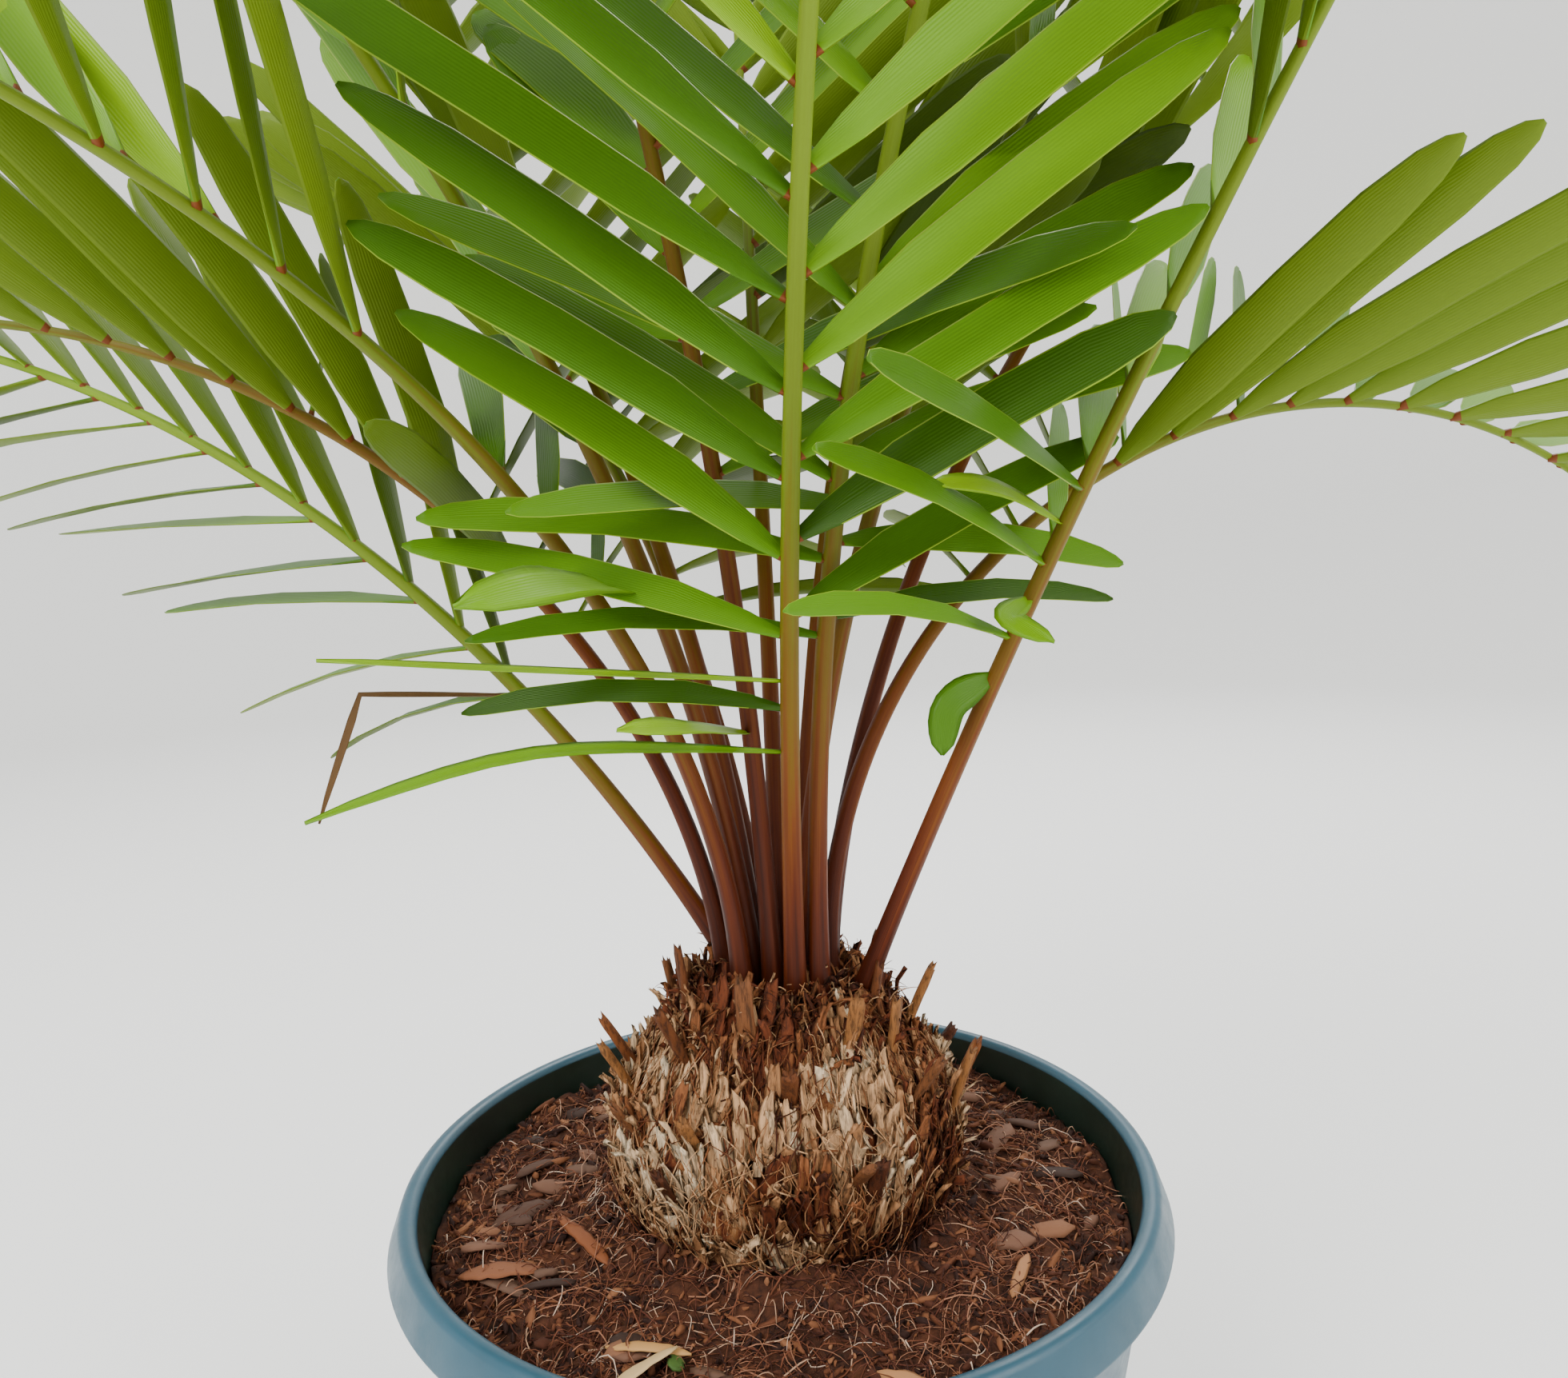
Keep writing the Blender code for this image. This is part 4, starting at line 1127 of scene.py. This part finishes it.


# the upper and under greens are one leaf in painted shade through to painted light, darkest first
leafColours = {
    "upper": ["#233d02", "#305102", "#406803", "#527f04", "#679404", "#80a807", "#9ab60e"],
    "under": ["#3b4e06", "#4e6409", "#647b0e", "#7b9013"],
    "margin": "#7f9c1e", "callus": "#74390f", "dead": "#5b3f1c",
}
blade = {
    "seed": 61, "twist": 0.14, "thick": 0.00022, "keel": 0.0016, "stalk": 0.0011, "stalkShare": 0.05,
    "widthVary": (0.94, 1.08), "lowestWidth": 0.42, "fullWidthFrom": 0.13, "toneVary": 0.75,
    "shares": np.array([0, 0.028, 0.12, 0.32, 0.58, 0.80, 0.92, 0.975, 1.0]),
    "columns": np.array([-1, -0.94, 0, 0.94, 1, 0.85, 0, -0.85]),
    "faceLeans": (1.5, 1.2, 0.9, 0.75), "stemClearance": 0.0008, "stemSteps": 40, "stemSides": 6,
    "pieces": {"leafletsFront": (0, 1, 12, 13), "leafletsRight": (2, 3, 4), "leafletsLeft": (5, 6, 7, 8),
               "leafletsBack": (9, 10, 11, 14, 15)},
}


def waxyLeaf(name, colour, roughness):
    # leathery cycad leaf: one plain green each, a soft waxy sheen, and raised veins a millimetre apart
    made, tree, shader = startMaterial(name, colour, roughness, 0.2)
    place = addNode(tree, "ShaderNodeUVMap", uv_map="UVMap")
    values = {"Scale": 5.0, "Distortion": 0.6, "Detail": 2.0}
    veins = addNode(tree, "ShaderNodeTexWave", values, {"Vector": place.outputs["UV"]},
                    wave_type="BANDS", bands_direction="X")
    addBump(tree, shader, veins.outputs["Fac"], 0.22, 0.0004)
    return made


def turnFaces(plan):
    # Each leaflet is turned about its own line, so that its face looks outwards as in the photo, as
    # far as it stays clear of the other fronds.
    foot, tip = stalk["foot"] + blade["stemClearance"], stalk["tip"] + blade["stemClearance"]
    stems = [stemTree(frond, blade["stemSteps"], blade["stemSides"], foot, tip) for frond in fronds.values()]
    count = len(fronds)
    grown = [[item for item in plan if item["frond"] == number] for number in range(count)]
    lean = leaf["lightLean"]
    blades = [searchTree([probe(item, item["start"], lean) for item in own]) for own in grown]
    for number, own in enumerate(grown):
        others = [tree for k, tree in enumerate(stems + blades) if k % count != number]
        for item in own:
            free = (wanted for wanted in blade["faceLeans"]
                    if isClear(probe(item, item["start"], wanted), others))
            item["faceLean"] = next(free, lean)
        blades[number] = searchTree([probe(item, item["start"], item["faceLean"]) for item in own])


def bladeShapes(values, chance):
    # Each blade is a closed outline carried along its arc: narrow at the callus, widest from a third to
    # three quarters, and blunt at the tip, keeled along its middle and under half a millimetre thick.
    share, columns, count = blade["shares"], blade["columns"], len(values["place"])
    course = [values[key] for key in ("root", "start", "length", "droop", "heading")]
    points, face, across = leafletCourse(*course, share, values["faceLean"])
    twist = (chance.normal(size=count) * blade["twist"])[:, None, None] * (share[None, :, None] - 0.3)
    cos, sin = np.cos(twist), np.sin(twist)
    face, across = face * cos + across * sin, across * cos - face * sin
    swell = np.sin(0.5 * math.pi * np.clip(share / 0.36, 0, 1)) ** 0.85
    blunt = np.sqrt(np.clip(1 - np.clip((share - 0.70) / 0.30, 0, 1) ** 2.3, 0.0, 1))
    outline = (0.10 + 0.90 * swell) * blunt
    outline[-1] = 0.10
    outline = outline[None, :, None]
    lowest = blade["lowestWidth"]
    narrow = lowest + (1 - lowest) * np.clip(values["place"] / blade["fullWidthFrom"], 0, 1)
    width = leaf["width"] / 2 * narrow * chance.uniform(*blade["widthVary"], count)
    half = width[:, None, None] * outline
    keel = -blade["keel"] * (1 - np.abs(columns) ** 1.4) * np.clip(outline, 0.2, 1)
    stub = blade["stalk"] * np.exp(-share / blade["stalkShare"])[None, :, None]
    deep = keel + (blade["thick"] + stub) * sheetSides + 0 * half + stub * 0.4
    return sweep(points, across, face, columns * half, deep), points[:, len(share) // 2]


def bladePaint(middle, chance):
    # Greens are painted light and shade, lighter outside, above and in front and darker behind and inside.
    # A blade's upper side, under side, margin and callus each take their own material.
    rows, around, count = len(blade["shares"]), len(blade["columns"]), len(middle)
    upper, under = len(leafColours["upper"]), len(leafColours["under"])
    # painted light and shade, from how far out, how high and how far forward the blade's middle is, plus a
    # random spread
    tone = 3.2 + 5.0 * (np.linalg.norm(middle[:, :2], axis=1) - 0.20) + 2.4 * (middle[:, 2] - 0.62)
    tone = tone - 2.4 * np.clip(middle[:, 1] + 0.05, -0.25, 0.35)
    tone = tone + chance.normal(size=count) * blade["toneVary"]
    greens = np.clip(np.round(tone), 0, upper - 1).astype(int)
    below = np.clip(np.round(greens * (under - 1) / (upper - 1)), 0, under - 1).astype(int)
    margin, callus = upper + under, upper + under + 1
    row, column = np.divmod(np.arange((rows - 1) * around), around)
    slots = np.where((column >= 4)[None], upper + below[:, None], greens[:, None])
    slots = np.where((np.isin(column, (0, 3)) & (row > 1))[None], margin, slots)
    slots = np.where((row < 1)[None], callus, slots)
    ends = np.stack([np.full(count, callus)] * around + [greens] * around, axis=1)
    return slots, ends


def makeLeaflets():
    plan = plannedLeaflets()
    turnFaces(plan)
    chance = np.random.default_rng(blade["seed"])
    values = {key: np.array([item[key] for item in plan])
              for key in ("root", "start", "length", "droop", "heading", "place", "frond", "faceLean")}
    (points, quads, triangles), middle = bladeShapes(values, chance)
    slots, ends = bladePaint(middle, chance)
    # copies of one leaf green in painted shade and painted light
    stuff = shades(waxyLeaf, "leaf_upper_painted_light", leafColours["upper"], 0.42)
    stuff += shades(waxyLeaf, "leaf_under_painted_light", leafColours["under"], 0.5)
    stuff += [waxyLeaf("leaf_margin", leafColours["margin"], 0.4),
              plainMatt("leaf_callus", leafColours["callus"], 0.6, 400.0, 0.3)]
    v = blade["shares"][None, :, None] * values["length"][:, None, None] / leaf["length"]
    uv = sweptUv(blade["columns"] * 0.5 + 0.5, v)
    names = list(fronds)
    for name, members in blade["pieces"].items():
        chosen = np.isin(values["frond"], members)
        piece = makePiece(name, (points[chosen], quads, triangles), stuff,
                          (slots[chosen], ends[chosen]), uv[chosen])
        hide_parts(*[names[m] for m in members])
    return stuff


# Leaflets that stand out in the photo: the frond and the picture row they leave it at, the picture
# points they pass through with the step in depth from the stem, their width, where the face looks, which
# of the greens of painted light and shade they take, and how many times the path is eased
oddLook = {"rows": 12, "columns": np.array([-1, -0.5, 0, 0.5, 1, 0.5, 0, -0.5]), "thick": 0.0003,
           "keel": 0.0010, "stemSteps": 60}
Odd = namedtuple("Odd", "frond row through wide face colour ease")
oddLeaflets = [
    Odd("frond_left_low", 868, [(450, 868, -0.01), (398, 1030, -0.03)], 0.0040, (0, -0.5, 1.0), "dead", 0),
    Odd("frond_front", 939, [(650, 928, -0.03), (380, 1028, -0.05)], 0.0095, (0, -0.35, 1.0), 4, 6),
    Odd("frond_front", 850, [(690, 838, -0.02), (395, 824, -0.03)], 0.0060, (0, -0.3, 1.0), 5, 6),
    Odd("frond_left_tall", 735, [(690, 722, -0.08), (568, 758, -0.10)], 0.0190, (0, -0.9, 0.6), 4, 4),
    Odd("frond_middle_left", 915, [(835, 905, -0.07), (772, 912, -0.08)], 0.0110, (0, -0.8, 0.8), 5, 4),
    Odd("frond_right_long", 842, [(1180, 880, -0.01), (1178, 945, -0.01)], 0.0120, (0, -1.0, 0.1), 2, 4),
    Odd("frond_right_long", 655, [(1240, 600, -0.03), (1165, 603, -0.04)], 0.0110, (0, -0.8, 0.8), 5, 6),
    Odd("frond_right_long", 745, [(1250, 770, -0.02), (1318, 802, -0.03)], 0.0100, (0, -0.8, 0.8), 4, 4),
]


def oddPath(item, step):
    # from the stem through the picture's points, at the depths given, and eased by averaging neighbours
    right, up, ahead = cameraAxes()
    eye = np.array(cameraPlace["location"])
    middleX, middleY = cameraPlace["image"][0] / 2, cameraPlace["image"][1] / 2
    focal = cameraPlace["lens"] / cameraPlace["sensor"] * cameraPlace["image"][0]
    points = frondLine(fronds[item.frond], oddLook["stemSteps"])[1]
    seen = points - eye
    line = middleY - focal * (seen @ up) / (seen @ ahead)
    root = np.array([np.interp(-item.row, -line, points[:, axis]) for axis in range(3)])
    knots = [root]
    for x, y, depth in item.through:
        ray = right * (x - middleX) / focal - up * (y - middleY) / focal + ahead
        knots.append(eye + ray * (root[1] + depth - eye[1]) / ray[1])
    knots = np.array(knots)
    run = np.concatenate([[0], np.cumsum(np.linalg.norm(np.diff(knots, axis=0), axis=1))])
    path = atShare(run, knots, step * run[-1]).T
    for _ in range(item.ease):
        path[1:-1] = (path[:-2] + 2 * path[1:-1] + path[2:]) / 4
    return path


def makeOddLeaflets(stuff):
    step, columns = np.linspace(0, 1, oddLook["rows"]), oddLook["columns"]
    paths = np.array([oddPath(item, step) for item in oddLeaflets])
    looks = np.array([item.face for item in oddLeaflets])[:, None]
    along = unit(np.gradient(paths, axis=1))
    faces = unit(looks - (along * looks).sum(axis=-1, keepdims=True) * along)
    across = unit(np.cross(faces, np.gradient(paths, axis=1)))
    outline = 0.12 + 0.88 * np.sin(0.5 * math.pi * np.clip(step / 0.4, 0, 1))
    outline = outline * np.sqrt(np.clip(1 - np.clip((step - 0.6) / 0.4, 0, 1) ** 2.2, 0.01, 1))
    half = np.array([item.wide / 2 for item in oddLeaflets])[:, None, None]
    wide = columns * outline[None, :, None] * half
    deep = sheetSides * oddLook["thick"] - oddLook["keel"] * (1 - np.abs(columns)) + 0 * wide
    uv = sweptUv(columns * 0.5 + 0.5, step[None, :, None] + 0 * half)
    # the green each takes is painted light and shade; the dead one has its own brown
    picks = [len(stuff) if item.colour == "dead" else item.colour for item in oddLeaflets]
    materials = stuff + [plainMatt("dead_leaf", leafColours["dead"], 0.7)]
    makePiece("oddLeaflets", sweep(paths, across, faces, wide, deep), materials, picks, uv)


makeStalks()
makeOddLeaflets(makeLeaflets())
print("fronds made")
